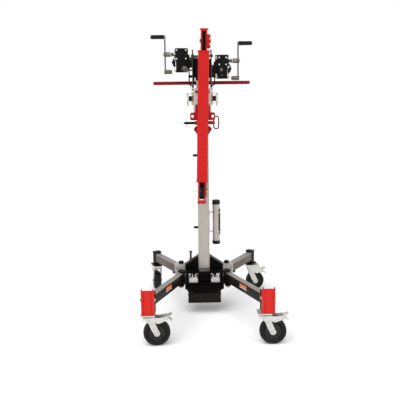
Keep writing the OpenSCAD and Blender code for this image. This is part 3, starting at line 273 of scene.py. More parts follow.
CARRIAGE = finish("carriage_aluminium", (0.64, 0.605, 0.58), 0.37, metal=0.5, vary=0.07,
                  stretch=(1, 1, 0.05), grain=0.1, grain_scale=620, wear=(0.74, 0.73, 0.70),
                  wear_share=0.35, tint=(0.45, 0.435, 0.41), tint_scale=11, tint_share=0.35)
ZINC = finish("bright_zinc", (0.63, 0.63, 0.59), 0.32, metal=0.6, vary=0.05, vary_scale=20,
              grain=0.10, grain_scale=520, wear=(0.80, 0.80, 0.78), wear_share=0.3,
              tint=(0.52, 0.52, 0.48), tint_scale=34, tint_share=0.25)
CAST_ALLOY = finish("cast_alloy", (0.60, 0.575, 0.545), 0.46, metal=0.45, vary=0.10,
                    grain=0.5, grain_scale=380, wear=(0.74, 0.73, 0.71), wear_share=0.4,
                    tint=(0.43, 0.425, 0.41), tint_scale=40, tint_share=0.4, edge=1.8)
BRASS = finish("yellow_zinc", (0.62, 0.47, 0.20), 0.33, metal=0.75, vary=0.2, vary_scale=60,
               grain=0.15, wear=(0.74, 0.62, 0.36), wear_share=0.4, tint=(0.46, 0.38, 0.24),
               tint_scale=90, tint_share=0.6, edge=0.7)
BRONZE = finish("brown_roller_block", (0.185, 0.125, 0.075), 0.45, metal=0.35, vary=0.25,
                grain=0.3, wear=(0.42, 0.34, 0.24), wear_share=0.5, tint=(0.10, 0.07, 0.045))
CRANK_STEEL = finish("crank_nickel", (0.135, 0.124, 0.106), 0.34, metal=0.6, level=0.25, vary=0.12,
                     vary_scale=40, grain=0.14, grain_scale=520, wear=(0.42, 0.40, 0.36),
                     wear_share=0.35, tint=(0.10, 0.09, 0.075), tint_scale=50, tint_share=0.5)
DARK_STEEL = finish("dark_steel", (0.055, 0.053, 0.050), 0.38, metal=0.55, vary=0.25,
                    wear=STEEL_BARE, wear_share=0.55, grain=0.18, tint=(0.025, 0.024, 0.023))
SHEAVE = finish("blackened_sheave", (0.006, 0.006, 0.006), 0.36, metal=0.1, level=0.15, vary=0.3,
                wear=(0.10, 0.098, 0.095), wear_share=0.6, grain=0.2)
ROPE = finish("wound_wire_rope", (0.075, 0.073, 0.068), 0.40, metal=0.55, vary=0.3,
              vary_scale=60, grain=0.6, depth=0.8, relief=rope_relief, edge=0.0,
              tint=(0.16, 0.155, 0.145), tint_scale=200, tint_share=0.5)
RUBBER = finish("tyre_rubber", (0.0085, 0.008, 0.0075), 0.52, level=0.2, vary=0.22,
                grain=0.35, grain_scale=520, tint=(0.024, 0.022, 0.02), tint_scale=26,
                tint_share=0.4, dust=0.03, edge=1.5)
GRIP = finish("grip_rubber", (0.006, 0.006, 0.006), 0.45, level=0.2, vary=0.2, grain=0.5,
              depth=0.6, relief=rib_relief, edge=1.2, dust=0.05)
HUB_PLASTIC = finish("wheel_centre_plastic", (0.014, 0.014, 0.0145), 0.34, level=0.3, vary=0.15,
                     grain=0.15, wear=(0.08, 0.08, 0.08), wear_share=0.4, edge=0.8)
# Rear legs' side panels: grey, partly their own finish, partly painted shade of the legs' sides
GREY_PANEL_SHADED = finish("grey_leg_panel_shaded", (0.112, 0.092, 0.077), 0.46, metal=0.2, level=0.3, vary=0.10,
                    grain=0.2, tint=(0.08, 0.066, 0.055), tint_scale=34, tint_share=0.4,
                    wear=(0.40, 0.38, 0.35), wear_share=0.4, edge=0.6)
BRIGHT_PLATE = finish("bright_deck_plate", (0.93, 0.93, 0.91), 0.15, metal=1.0, vary=0.02, grain=0.03,
                      tint=(0.84, 0.84, 0.81), tint_scale=20, tint_share=0.3, rough_vary=0.04)
ORANGE = finish("orange_band", (0.80, 0.205, 0.035), 0.42, level=0.35, vary=0.10, grain=0.1,
                tint=(0.58, 0.12, 0.02), tint_scale=120, tint_share=0.5, edge=0.3)
WHITE_BAND = finish("white_band", (0.78, 0.76, 0.72), 0.42, level=0.35, vary=0.06, grain=0.1,
                    tint=(0.52, 0.50, 0.46), tint_scale=110, tint_share=0.5, edge=0.3)

FINISHES = {
    "hub_frame": BLACK_DEEP, "hub_gussets": BLACK, "hub_box": BLACK_BOX, "lock_blocks": CAST_ALLOY,
    "lock_pin_left": BLACK_PLASTIC, "lock_pin_right": BLACK_PLASTIC, "leg_plunger": DARK_STEEL,
    "mast_outer": ALUMINIUM, "mast_fittings": BLACK_PLASTIC, "winch_bracket": BLACK,
    "winch_cases": BLACK_CAST, "base_bolts": BRASS, "push_bar": RED_DEEP_SHADED, "tube_mount": ZINC,
    "document_tube": ALUMINIUM, "tube_cap": BLACK_PLASTIC, "crank_left": CRANK_STEEL,
    "crank_right": CRANK_STEEL, "grip_left": GRIP, "grip_right": GRIP, "drum_left": DARK_STEEL,
    "drum_right": DARK_STEEL, "leg_fl": LEG_METAL, "leg_fr": LEG_METAL, "leg_rl": LEG_METAL,
    "leg_rr": LEG_METAL, "end_fl": RED_BRIGHT, "end_fr": RED_BRIGHT, "end_rl": BLACK,
    "end_rr": BLACK, "post_fl": BLACK, "post_fr": BLACK, "casting_rl": CAST_ALLOY,
    "casting_rr": CAST_ALLOY, "knob_rl": BLACK_PLASTIC, "knob_rr": BLACK_PLASTIC,
    "mast_inner": ALUMINIUM, "carriage": CARRIAGE, "roller_blocks": BRONZE,
    "roller_left": SHEAVE, "roller_right": SHEAVE, "collar": RED_SHADED, "link_ring": LINK_RED,
    "hitch_pin": BLACK, "boom": RED, "sheave_top": SHEAVE, "sheave_low": SHEAVE,
    "boom_hardware": BRASS,
}
for corner in CORNERS:
    FINISHES["fork_" + corner] = ZINC
    FINISHES["pedal_" + corner] = ZINC
    FINISHES["wheel_" + corner] = RUBBER


def dress(name, main, *others):
    """Gives a CAD node its finish, and others where their test of a face's middle holds."""
    mesh = NODES[name].data
    mesh.materials.clear()
    mesh.materials.append(main)
    for surface, _ in others:
        mesh.materials.append(surface)
    for face in mesh.polygons:
        middle = face.center * 1000 - SHIFT
        face.material_index = 0
        for index, (_, holds) in enumerate(others):
            if holds(middle):
                face.material_index = index + 1


for node_name, surface in FINISHES.items():
    dress(node_name, surface)


# ---------- mesh helpers, in millimetres round the mast's axis ----------
def add_block(bm, low, high, radius=0.8, place=STILL):
    made = bmesh.ops.create_cube(bm, size=1)["verts"]
    for v in made:
        v.co = Vector([low[i] + (v.co[i] + 0.5) * (high[i] - low[i]) for i in range(3)])
    edges = list({e for v in made for e in v.link_edges})
    made = bmesh.ops.bevel(bm, geom=edges, offset=radius, segments=2, profile=0.5,
                           affect="EDGES")["verts"]
    bmesh.ops.transform(bm, matrix=place, verts=made)


def add_turned(bm, profile, place=STILL, segments=40, closed=False):
    """Turns (radius, height) pairs about local Z. A closed profile is a ring."""
    rings = []
    for radius, height in profile:
        count = 1 if radius == 0 else segments
        rings.append([bm.verts.new(place @ Vector((radius * math.cos(2 * math.pi * k / segments),
                                                   radius * math.sin(2 * math.pi * k / segments),
                                                   height))) for k in range(count)])
    if closed:
        rings.append(rings[0])
    for a, b in zip(rings, rings[1:]):
        for k in range(segments):
            corners = []
            for v in (a[k % len(a)], a[(k + 1) % len(a)], b[(k + 1) % len(b)], b[k % len(b)]):
                if v not in corners:
                    corners.append(v)
            if len(corners) > 2:
                bm.faces.new(corners)


def add_bolt(bm, radius, height, place, washer=1.45):
    """Hexagon head with a chamfered top on a washer, facing local +Z."""
    thick = 0.22 * height
    add_turned(bm, [(0, 0), (radius * washer, 0), (radius * washer, thick * 0.8),
                    (radius * washer - 0.3, thick), (0, thick)], place, 28)
    add_turned(bm, [(0, thick * 0.9), (radius, thick * 0.9), (radius, height * 0.82),
                    (radius * 0.84, height), (0, height)], place, 6)


def add_dome(bm, radius, height, place):
    steps = [(radius * math.cos(a), height * math.sin(a))
             for a in (math.radians(d) for d in (0, 20, 40, 60, 78))]
    add_turned(bm, [(0, -0.3), (radius, -0.3)] + steps + [(0, height)], place, 24)


def add_sweep(bm, points, radius, segments=10, closed=False, place=STILL):
    """Round bar along points, with its sections kept square to the path."""
    points = [Vector(p) for p in points]
    count = len(points)
    rings = []
    side = None
    for i, p in enumerate(points):
        before = points[i - 1] if i or closed else p
        after = points[(i + 1) % count] if i < count - 1 or closed else p
        along = (after - before).normalized()
        if side is None:
            side = along.cross(Vector((0, 0, 1)) if abs(along.z) < 0.9 else Vector((0, 1, 0)))
        side = (side - along * side.dot(along)).normalized()
        other = along.cross(side)
        rings.append([bm.verts.new(place @ (p + radius * (math.cos(t) * side + math.sin(t) * other)))
                      for t in (2 * math.pi * k / segments for k in range(segments))])
    pairs = list(zip(rings, rings[1:])) + ([(rings[-1], rings[0])] if closed else [])
    for a, b in pairs:
        for k in range(segments):
            n = (k + 1) % segments
            bm.faces.new((a[k], a[n], b[n], b[k]))
    if not closed:
        bm.faces.new(rings[0])
        bm.faces.new(rings[-1])


def square_path(half_x, half_y, z, corner, steps=4):
    """Closed rounded rectangle, as points."""
    points = []
    for sx, sy, start in ((1, 1, 0), (-1, 1, 90), (-1, -1, 180), (1, -1, 270)):
        for k in range(steps + 1):
            a = math.radians(start + 90 * k / steps)
            points.append((sx * (half_x - corner) + corner * math.cos(a),
                           sy * (half_y - corner) + corner * math.sin(a), z))
    return points


def piece(name, bm, surface, body, place=STILL, sharp=38):
    """Closes a mesh made in millimetres into a named piece that rides on a body."""
    bmesh.ops.recalc_face_normals(bm, faces=bm.faces)
    bm.transform(MM @ place)
    mesh = bpy.data.meshes.new(name)
    bm.to_mesh(mesh)
    bm.free()
    mesh.materials.append(surface)
    for face in mesh.polygons:
        face.use_smooth = True
    mesh.set_sharp_from_angle(angle=math.radians(sharp))
    made = bpy.data.objects.new(name, mesh)
    bpy.context.scene.collection.objects.link(made)
    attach(made, body)
    return made


# ---------- layout of the CAD frame, in millimetres and degrees --------------------
PIVOT_X, PIVOT_Y = 147, 78
LEG_LOW, LEG_HIGH, LEG_HALF = 211, 269, 19
LEGS = {"fl": (-PIVOT_X, -PIVOT_Y, 248), "fr": (PIVOT_X, -PIVOT_Y, -66),
        "rl": (-PIVOT_X, PIVOT_Y, 119), "rr": (PIVOT_X, PIVOT_Y, 59)}
SWIVEL_Y = -537
CHANNEL_HALF, CHANNEL_FACE, CHANNEL_FOOT = 35, -562, 180
DECK_Z = 206
PLUNGER = (-84, 48, 0)
BOOM_Y = -125
TUBE_X = 79
COLLAR_Z = 1238
DRUM_Y, CRANK_Y = 95, 60
DRUM_Z = {"left": 1554, "right": 1509}
SHAFT_Z = {"left": 1602, "right": 1561}
BAR_Y, BAR_Z = 150, 1432
CASTING_X = 146
# Studs on each gear case's front: out from the mast's axis, and up from the crank shaft
WINCH_STUDS = {"left": ((162, 2), (162, -28), (162, -96), (87, -96)),
               "right": ((161, 14), (86, 14), (161, -100), (86, -100), (161, -38))}
# Bands on the front legs: name, finish, from and to along the leg, from and to in height
LABELS = (("orange_band_", ORANGE, 190, 268, 241, 258), ("white_band_", WHITE_BAND, 188, 270, 233, 238))
REAR_REACH = 358
HEADS = {"fl": 4, "fr": -4, "rl": 102, "rr": 6}
WHEEL = {"f": dict(r=75, w=40, h=180, trail=46), "r": dict(r=62.5, w=44, h=192, trail=34)}


def leg_place(corner):
    x, y, direction = LEGS[corner]
    return move(x, y, 0) @ turn(direction, "Z")


def channel_x(corner):
    x, y, direction = LEGS[corner]
    a = math.radians(direction)
    return x + (PIVOT_Y + SWIVEL_Y + 25) / math.sin(a) * math.cos(a)


def swivel_place(corner):
    x, y, direction = LEGS[corner]
    a = math.radians(direction)
    if corner[0] == "f":
        sx, sy = channel_x(corner) - (20 if corner == "fr" else 0), SWIVEL_Y
    else:
        sx, sy = x + REAR_REACH * math.cos(a), y + REAR_REACH * math.sin(a)
    return move(sx, sy, 0) @ turn(HEADS[corner], "Z")


# The stowed boom's lean about the collar's stud
LEAN = move(0, 0, COLLAR_Z) @ turn(1.4, "Y") @ move(0, 0, -COLLAR_Z)


# ---------- faces of CAD nodes that have their own finish ----------
def split_finishes():
    dress("base_bolts", BRASS, (DARK_STEEL, lambda p: p.z > 1400),
          (ZINC, lambda p: p.z > 1520 or (p.z > 1490 and p.x > 0)),
          (BLACK, lambda p: 188 < p.z < 320))
    dress("tube_mount", ZINC, (ALUMINIUM, lambda p: math.hypot(p.x - TUBE_X, p.y) < 27.5))
    # the lock blocks' top step takes the bright mirror plate: a painted highlight lifting the shade on it
    dress("lock_blocks", CAST_ALLOY, (BRIGHT_PLATE, lambda p: p.z > 238))
    dress("mast_inner", ALUMINIUM, (DARK_STEEL, lambda p: abs(p.x) > 42 or p.z > 1583.5))
    dress("hitch_pin", BLACK, (ZINC, lambda p: abs(p.z - 1196) > 8.2 and p.x < -70))
    dress("roller_blocks", BRONZE,
          (BRASS, lambda p: abs(p.x) < 68 and abs(p.z - 1338) > 17.6),
          (DARK_STEEL, lambda p: abs(p.x) > 79 and (p.z > 1365 or p.z < 1311)),
          (ZINC, lambda p: abs(p.x) > 76))
    dress("boom_hardware", BRASS,
          (RED, lambda p: p.z > 1600 and (p.x < 0 or abs(p.z - 1666) < 14)),
          (ZINC, lambda p: p.z < 900 and p.x < 5))
    dress("leg_plunger", DARK_STEEL, (RED_DEEP_SHADED, lambda p: p.z < 323.5 and p.z > 314.5))
    for side, name in ((-1, "post_fl"), (1, "post_fr")):
        middle = channel_x(name[-2:])
        dress(name, BLACK, (ZINC, lambda p: p.z < 180.5),
              (BRASS, lambda p, m=middle, s=side: (m - p.x) * s > 34.5 and abs(p.z - 250) < 10
               and p.y < -494.5))
    for side in ("left", "right"):
        dress("drum_" + side, DARK_STEEL,
              (ROPE, lambda p, z=DRUM_Z[side]: 26.5 < math.hypot(p.y - DRUM_Y, p.z - z) < 33.5
               and 14.5 < abs(p.x) < 74.5))
    for corner in CORNERS:
        dress("leg_" + corner, LEG_METAL,
              (DARK_STEEL, lambda p, c=corner: math.hypot(p.x - LEGS[c][0], p.y - LEGS[c][1]) < 15.5
               and not (LEG_LOW + 0.5 > p.z > LEG_LOW - 0.5)))


split_finishes()


# ---------- added pieces ----------
def add_wheel_parts(corner):
    size = WHEEL[corner[0]]
    r, w, h, trail = size["r"], size["w"], size["h"], size["trail"]
    place = swivel_place(corner)
    axle = place @ move(trail, 0, r)
    bm = bmesh.new()
    for face in (TO_FRONT, TO_BACK):
        base = w / 2 - 6.4
        rim = 0.60 * r
        add_turned(bm, [(19, base + 2), (19, base + 5.2), (23, base + 5.6), (25, base + 2.6),
                        (rim * 0.62, base + 1.6), (rim * 0.66, base + 3.0),
                        (rim * 0.76, base + 3.0), (rim * 0.80, base + 1.2), (rim - 3, base + 0.9),
                        (rim - 1, base + 2.2), (rim, base + 0.6), (rim, base - 0.8),
                        (19, base + 0.6)], axle @ face, 64, closed=True)
    piece("wheel_centre_" + corner, bm, HUB_PLASTIC, "wheel_" + corner)
    bm = bmesh.new()
    for face in (TO_FRONT, TO_BACK):
        for ring, rise in ((0.74, 0.9), (0.84, 0.7)):
            edge = w / 2 - 0.8
            add_turned(bm, [(ring * r - 1.6, edge), (ring * r, edge + rise + 0.9),
                            (ring * r + 1.6, edge), (ring * r, edge - 1)], axle @ face, 64,
                       closed=True)
    piece("tyre_rings_" + corner, bm, RUBBER, "wheel_" + corner)
    top = h - 12
    cheek = w / 2 + 7
    bm = bmesh.new()
    add_turned(bm, [(28.6, top - 0.4), (31.5, top + 0.2), (32.2, top + 1.6), (31.2, top + 3.0),
                    (28.6, top + 3.2)], place, 48, closed=True)
    piece("crown_seal_" + corner, bm, BLACK_PLASTIC, "fork_" + corner)
    bm = bmesh.new()
    for side in (-1, 1):
        y = side * cheek
        start, bend, end = (-6, top - 20), (trail - 24, r + 46), (trail - 7, r + 24)
        path = [(x, y, z) for x, z in (start, ((start[0] + bend[0]) / 2, (start[1] + bend[1]) / 2),
                                       bend, end)]
        add_sweep(bm, path, 1.6, 10)
        path = [(x + 9, y, z - 3) for x, _, z in path[:3]] + [(trail + 3, y, r + 24)]
        add_sweep(bm, path, 1.6, 10)
        out = TO_BACK if side > 0 else TO_FRONT
        for x, z in ((-18, top - 5), (24, top - 6)):
            add_dome(bm, 3.2, 1.8, move(x, y, z) @ out)
        add_turned(bm, [(10.5, -0.4), (13.2, -0.4), (13.2, 1.0), (12.6, 1.5), (10.5, 1.5)],
                   move(trail, y, r) @ out, 36, closed=True)
    piece("fork_ribs_" + corner, bm, ZINC, "fork_" + corner, place)


def add_leg_parts(corner):
    place = leg_place(corner)
    body, front = "leg_" + corner, corner[0] == "f"
    near, far = (-17.5, 420) if front else (62, 334)
    # dark panels over both sides of the leg: their colour stands partly for the shade on the sides, below
    # the lit top
    bm = bmesh.new()
    for side in (-1, 1):
        low, high = sorted((side * (LEG_HALF - 0.3), side * (LEG_HALF + 1.2)))
        add_block(bm, (near, low, LEG_LOW + 1.5), (far, high, LEG_HIGH - (2.5 if front else 8)),
                  0.5)
    if front:
        add_block(bm, (-19.2, -LEG_HALF - 1.2, LEG_LOW + 1.5), (-17.6, LEG_HALF + 1.2, LEG_HIGH - 2.5),
                  0.5)
    piece("shaded_side_panels_" + corner, bm, BLACK_PANEL_SHADED if front else GREY_PANEL_SHADED, body,
          place)
    bm = bmesh.new()
    for side in (-1, 1):
        out = TO_BACK if side > 0 else TO_FRONT
        for along in (max(near, 50) + 10, (near + far) / 2 + 60, far - 10):
            add_dome(bm, 3.0, 1.6, move(along, side * (LEG_HALF + 1.2), LEG_LOW + 8) @ out)
    piece("panel_rivets_" + corner, bm, DARK_STEEL, body, place)
    if front:
        side = 1 if corner == "fl" else -1
        for name, surface, x0, x1, z0, z1 in LABELS:
            low, high = sorted((side * (LEG_HALF + 1.0), side * (LEG_HALF + 1.6)))
            bm = bmesh.new()
            add_block(bm, (x0, low, z0), (x1, high, z1), 0.2)
            piece(name + corner, bm, surface, body, place)


def add_channel_parts(corner):
    side = -1 if corner == "fl" else 1
    middle = channel_x(corner)
    bm = bmesh.new()
    for k, surface_side in ((-1, TO_LEFT), (1, TO_RIGHT)):
        add_turned(bm, [(6.5, 0), (12, 0), (12, 1.2), (11.4, 1.8), (6.5, 1.8)],
                   move(middle + k * CHANNEL_HALF, -505, 250) @ surface_side, 32, closed=True)
    piece("channel_washers_" + corner, bm, ZINC, "leg_" + corner)
    bm = bmesh.new()
    # weld beads where the channel's side flanges meet its face, and along its foot
    for k in (-1, 1):
        add_sweep(bm, [(middle + k * 31.2, CHANNEL_FACE + 4.2, z) for z in range(188, 318, 10)], 1.4, 8)
    add_sweep(bm, [(middle + x, CHANNEL_FACE - 0.3, CHANNEL_FOOT + 1.5) for x in range(-33, 34, 6)],
              1.6, 8)
    piece("channel_welds_" + corner, bm, RED_BRIGHT, "leg_" + corner)
    bm = bmesh.new()
    # darker red lines down the channel's face, inside its side edges: painted shade of its rounded edges
    for k in (-1, 1):
        add_sweep(bm, [(middle + k * 22, CHANNEL_FACE - 0.2, z) for z in range(184, 322, 12)], 1.3, 8)
    piece("channel_shade_lines_" + corner, bm, RED_SHADED, "leg_" + corner)
    bm = bmesh.new()
    foot = swivel_place(corner).translation
    for dx, dy in ((-31, -30), (31, -30), (-31, 32), (31, 32)):
        add_bolt(bm, 4.5, 4, move(foot.x + dx, -525 + dy, 172.2) @ UPSIDE_DOWN)
    piece("plate_bolts_" + corner, bm, ZINC, "leg_" + corner)


def add_case_parts(side, name, z, cover_x):
    """Bearing cap, ribs and studs on a gear case."""
    bm = bmesh.new()
    add_turned(bm, [(0, 0), (13, 0), (13, 1.6), (11.5, 2.6), (8, 2.6), (7, 1.4), (0, 1.4)],
               move(side * cover_x, 16, z - 2) @ TO_FRONT, 40)
    for k in range(4):
        x = side * (100 + 13 * k)
        add_block(bm, (x - 1.5, 29, z - 92), (x + 1.5, 33, z - 40), 0.7)
    for k in (-1, 1):
        add_block(bm, (side * 122 - 34, 36 + k * 10, z + 32),
                  (side * 122 + 34, 40 + k * 10, z + 35), 0.9)
    piece("gear_case_ribs_" + name, bm, BLACK_CAST, "base")
    bm = bmesh.new()
    for x, dz in WINCH_STUDS[name]:
        add_bolt(bm, 4.6, 6, move(side * x, 27, z + dz) @ TO_FRONT)
    piece("gear_case_studs_" + name, bm, ZINC, "base")


def add_drum_guard(side, name, z):
    """Guard strip and its edge bar beside a drum, with a row of rivets on bosses."""
    bm = bmesh.new()
    strip = side * 78
    rivets = [z - 12 - 20 * k for k in range(5)]
    add_block(bm, (side * 84 - 3, 24, z - 60), (side * 84 + 3, 31, z - 8), 1.2)
    for height in rivets:
        add_dome(bm, 3.4, 2.4, move(strip, 24, height) @ TO_FRONT)
    add_block(bm, (strip - 5, 24, z - 100), (strip + 5, 28, z - 4), 1.0)
    piece("drum_guard_strip_" + name, bm, BLACK, "base")
    bm = bmesh.new()
    for height in rivets:
        add_dome(bm, 2.6, 1.8, move(strip, 23.4, height) @ TO_FRONT)
    piece("drum_guard_rivets_" + name, bm, ZINC, "base")


def add_pinion():
    """Toothed pinion with its nut, under the left gear case's inner corner."""
    bm = bmesh.new()
    axis = move(-104, 17.5, 1518) @ TO_RIGHT
    teeth = 14
    for k in range(teeth):
        add_block(bm, (-1.6, 10.2, -9), (1.6, 13.4, 9), 0.5, axis @ turn(360 * k / teeth, "Z"))
    add_turned(bm, [(0, -10), (11, -10), (11, 10), (8, 12), (8, 16), (5, 18), (0, 18)], axis, 36)
    add_bolt(bm, 6.5, 7, move(-93, 22, 1502) @ TO_FRONT)
    piece("winch_pinion_left", bm, MACHINED, "base")


def add_right_case_parts():
    """Bright plate and angled tabs at the corners of the right gear case."""
    bm = bmesh.new()
    add_block(bm, (106, 26.4, 1499), (126, 30.4, 1517), 1.2)
    add_turned(bm, [(0, 0), (6, 0), (6, 1.2), (4.6, 2.2), (0, 2.2)], move(116, 26.4, 1508) @ TO_FRONT, 24)
    piece("winch_plate_right", bm, MACHINED, "base")
    bm = bmesh.new()
    for x, z, up, reach in ((85, 1580, 1, 9), (85, 1474, -1, 9), (158, 1474, -1, 5.5)):
        add_block(bm, (x - 5.5, 25.4, z - 11), (x + 5.5, 28.2, z + 11), 0.8)
        foot = z + up * 9
        add_block(bm, (x - 5.5, 25.4, foot - 2), (x + reach, 28.2, foot + 2), 0.8)
    piece("winch_tabs_right", bm, ZINC, "base")


def add_crank_parts(side, name, z):
    out = TO_RIGHT if side > 0 else TO_LEFT
    bm = bmesh.new()
    add_turned(bm, [(0, 0), (10, 0), (10, 1.8), (8.6, 2.8), (0, 3.0)],
               move(side * 228, CRANK_Y, z) @ out, 32)
    add_bolt(bm, 6.0, 5, move(side * 230, CRANK_Y, z) @ out)
    # set screw in the boss and collar ring on the shaft
    add_bolt(bm, 3.4, 3.4, move(side * 203, 46.6, z) @ TO_FRONT, washer=1.2)
    add_turned(bm, [(11, -2), (14.5, -2), (14.5, 2), (11, 2)], move(side * 188, CRANK_Y, z) @ out,
               36, closed=True)
    piece("crank_nut_" + name, bm, ZINC, "crank_" + name)
    bm = bmesh.new()
    for k in range(6):
        add_turned(bm, [(11.0, -1.1), (12.9, -1.1), (13.3, 0), (12.9, 1.1), (11.0, 1.1)],
                   move(side * (240 + 9.5 * k), CRANK_Y, z + 103) @ out, 36, closed=True)
    piece("grip_ribs_" + name, bm, GRIP, "grip_" + name)


def add_winch_parts():
    for side, name, cover_x in ((-1, "left", 123), (1, "right", 125.5)):
        z = SHAFT_Z[name]
        add_case_parts(side, name, z, cover_x)
        add_drum_guard(side, name, z)
        add_crank_parts(side, name, z)
    add_pinion()
    add_right_case_parts()


def add_carriage_parts():
    bm = bmesh.new()
    for x in (-34, 34):
        for z in (1296, 1378):
            add_bolt(bm, 6.2, 5, move(x, -52, z) @ TO_FRONT)
    piece("carriage_bolts", bm, DARK_STEEL, "lift")
    bm = bmesh.new()
    for side in (-1, 1):
        for inset in (6, 20):
            x = side * (52.5 - inset)
            add_block(bm, (x - 1.6, -54.2, 1218), (x + 1.6, -51.6, 1398), 0.9)
        for y in (-40, -8):
            low, high = sorted((side * 52.2, side * 54.0))
            add_block(bm, (low, y - 1.6, 1218), (high, y + 1.6, 1300), 0.8)
    piece("carriage_ridges", bm, CARRIAGE, "lift")


def add_mast_parts():
    bm = bmesh.new()
    # raised edge beads of the extruded mast
    for x in (-1, 1):
        for y in (-1, 1):
            add_block(bm, (x * 30 - 2, y * 35.2 - 0.7, 285), (x * 30 + 2, y * 35.2 + 0.7, 1180), 0.5)
    piece("mast_ridges", bm, ALUMINIUM, "base")
    bm = bmesh.new()
    add_sweep(bm, square_path(37.4, 37.4, 280.5, 3), 1.7, 8, closed=True)
    piece("mast_foot_weld", bm, BLACK, "base")
    bm = bmesh.new()
    # pads on the gussets' tips, beside the mast
    for side in (-1, 1):
        add_block(bm, (side * 38.5 - 3, -27, 352), (side * 38.5 + 3, 27, 362), 1.2)
    piece("gusset_pads", bm, LINK_RED, "base")


def add_tube_parts():
    """Screws, beads and edge strip of the document tube."""
    bm = bmesh.new()
    for z in (513, 636):
        add_bolt(bm, 3.6, 3.4, move(38, -9, z - 9) @ TO_RIGHT, washer=1.3)
        add_bolt(bm, 3.6, 3.4, move(38, 9, z + 9) @ TO_RIGHT, washer=1.3)
    piece("tube_clamp_screws", bm, ZINC, "base")
    bm = bmesh.new()
    for z in (465, 686):
        add_turned(bm, [(22.3, -1.4), (23.2, -1.2), (23.4, 0), (23.2, 1.2), (22.3, 1.4)],
                   move(TUBE_X, 0, z), 48, closed=True)
    piece("tube_beads", bm, ALUMINIUM, "base")
    bm = bmesh.new()
    # dark edge strip that follows the document tube's front right side
    arc = [(22.7, a) for a in range(-52, 1, 4)] + [(23.5, a) for a in range(0, -53, -4)]
    loops = [[bm.verts.new((TUBE_X + r * math.cos(math.radians(a)), r * math.sin(math.radians(a)), z))
              for r, a in arc] for z in (498, 499, 657, 658)]
    for lower, upper in zip(loops, loops[1:]):
        for k in range(len(arc)):
            n = (k + 1) % len(arc)
            bm.faces.new((lower[k], lower[n], upper[n], upper[k]))
    bm.faces.new(loops[0])
    bm.faces.new(loops[-1])
    piece("tube_dark_strip", bm, BLACK_PLASTIC, "base")


def add_push_bar_parts():
    bm = bmesh.new()
    for side in (-1, 1):
        out = TO_RIGHT if side > 0 else TO_LEFT
        add_turned(bm, [(0, 0), (7.6, 0), (7.6, 1.4), (6.2, 2.6), (0, 3.0)],
                   move(side * 299.4, BAR_Y, BAR_Z) @ out, 36)
    piece("bar_end_plugs", bm, RED_DEEP_SHADED, "base")
    bm = bmesh.new()
    for x in (-34, 34):
        for side in (-1, 1):
            add_turned(bm, [(10.6, -1.5), (13.2, -1.0), (12.4, 1.4), (10.6, 1.8)],
                       move(x + side * 6, BAR_Y, BAR_Z) @ TO_RIGHT, 36, closed=True)
    piece("bar_welds", bm, BLACK, "base")


def add_winch_sleeve():
    """Black sleeve plate round the mast behind the winches, with its screws."""
    bm = bmesh.new()
    add_block(bm, (-37.6, -38.0, 1446), (37.6, -35.4, 1574), 1.0)
    for side in (-1, 1):
        low, high = sorted((side * 35.4, side * 37.8))
        add_block(bm, (low, -37.0, 1446), (high, 34.0, 1574), 1.0)
    piece("winch_sleeve", bm, BLACK, "base")
    bm = bmesh.new()
    for x in (-28, 28):
        for z in (1458, 1510, 1562):
            add_dome(bm, 3.2, 2.0, move(x, -38, z) @ TO_FRONT)
    piece("winch_sleeve_screws", bm, DARK_STEEL, "base")


def add_sheave_guards():
    """Black guards beside and behind the sheaves, in the boom's end brackets."""
    for name, inner, depth, low, high in (("top", 9.6, 54.5, 1609, 1722),
                                          ("low", 15.1, 49.5, 733, 847)):
        bm = bmesh.new()
        back = BOOM_Y + depth
        for side in (-1, 1):
            a, b = sorted((side * inner, side * (inner + 2.2)))
            add_block(bm, (a, -99, low), (b, back, high), 0.7)
        add_block(bm, (-inner - 2.2, back - 2.4, low), (inner + 2.2, back, high), 0.7)
        piece("sheave_guard_" + name, bm, BLACK, "boom", LEAN)


def add_boom_parts():
    bm = bmesh.new()
    for z in (1603.2, 857.8):
        add_sweep(bm, [(x, y + BOOM_Y, h) for x, y, h in square_path(32.0, 32.0, z, 5)], 1.6, 8,
                  closed=True)
    for side in (-1, 1):
        add_sweep(bm, [(side * 19, BOOM_Y + y, 1613.2) for y in range(-26, 27, 6)], 1.5, 8)
    for side in (-1, 1):
        add_sweep(bm, [(side * 22, BOOM_Y + y, 848.6) for y in range(-26, 27, 6)], 1.5, 8)
        add_sweep(bm, [(side * 22, BOOM_Y + y, 736.2) for y in range(-26, 27, 6)], 1.5, 8)
    piece("boom_welds", bm, RED, "boom", LEAN)
    bm = bmesh.new()
    for x, y in ((-28, -28), (28, -28), (-28, 28), (28, 28)):
        add_dome(bm, 3.0, 1.8, move(x, y + BOOM_Y, 1611))
        add_dome(bm, 3.0, 1.8, move(x, y + BOOM_Y, 850) @ UPSIDE_DOWN)
    piece("boom_plate_rivets", bm, RED, "boom", LEAN)
    bm = bmesh.new()
    for z in (1635, 1691):
        add_turned(bm, [(6.5, -0.8), (9, -0.8), (9, 0.6), (8.4, 1.1), (6.5, 1.1)],
                   move(35.8, -128, z) @ TO_RIGHT, 28, closed=True)
    piece("lobe_washers", bm, BRASS, "boom", LEAN)


def add_collar_beads():
    bm = bmesh.new()
    for side in (-1, 1):
        add_sweep(bm, [(side * 33.4, -61.4, z) for z in range(1182, 1208, 5)], 1.4, 8)
        add_sweep(bm, [(side * 43.4, -61, z) for z in range(1222, 1252, 5)], 1.4, 8)
        add_turned(bm, [(8.7, 0), (12.2, 0), (12.2, 1.2), (11.6, 1.8), (8.7, 1.8)],
                   move(side * 60, -61, 1234) @ TO_FRONT, 36, closed=True)
    # the collar's beads take the same red with painted shade
    piece("collar_beads", bm, RED_SHADED, "lift")


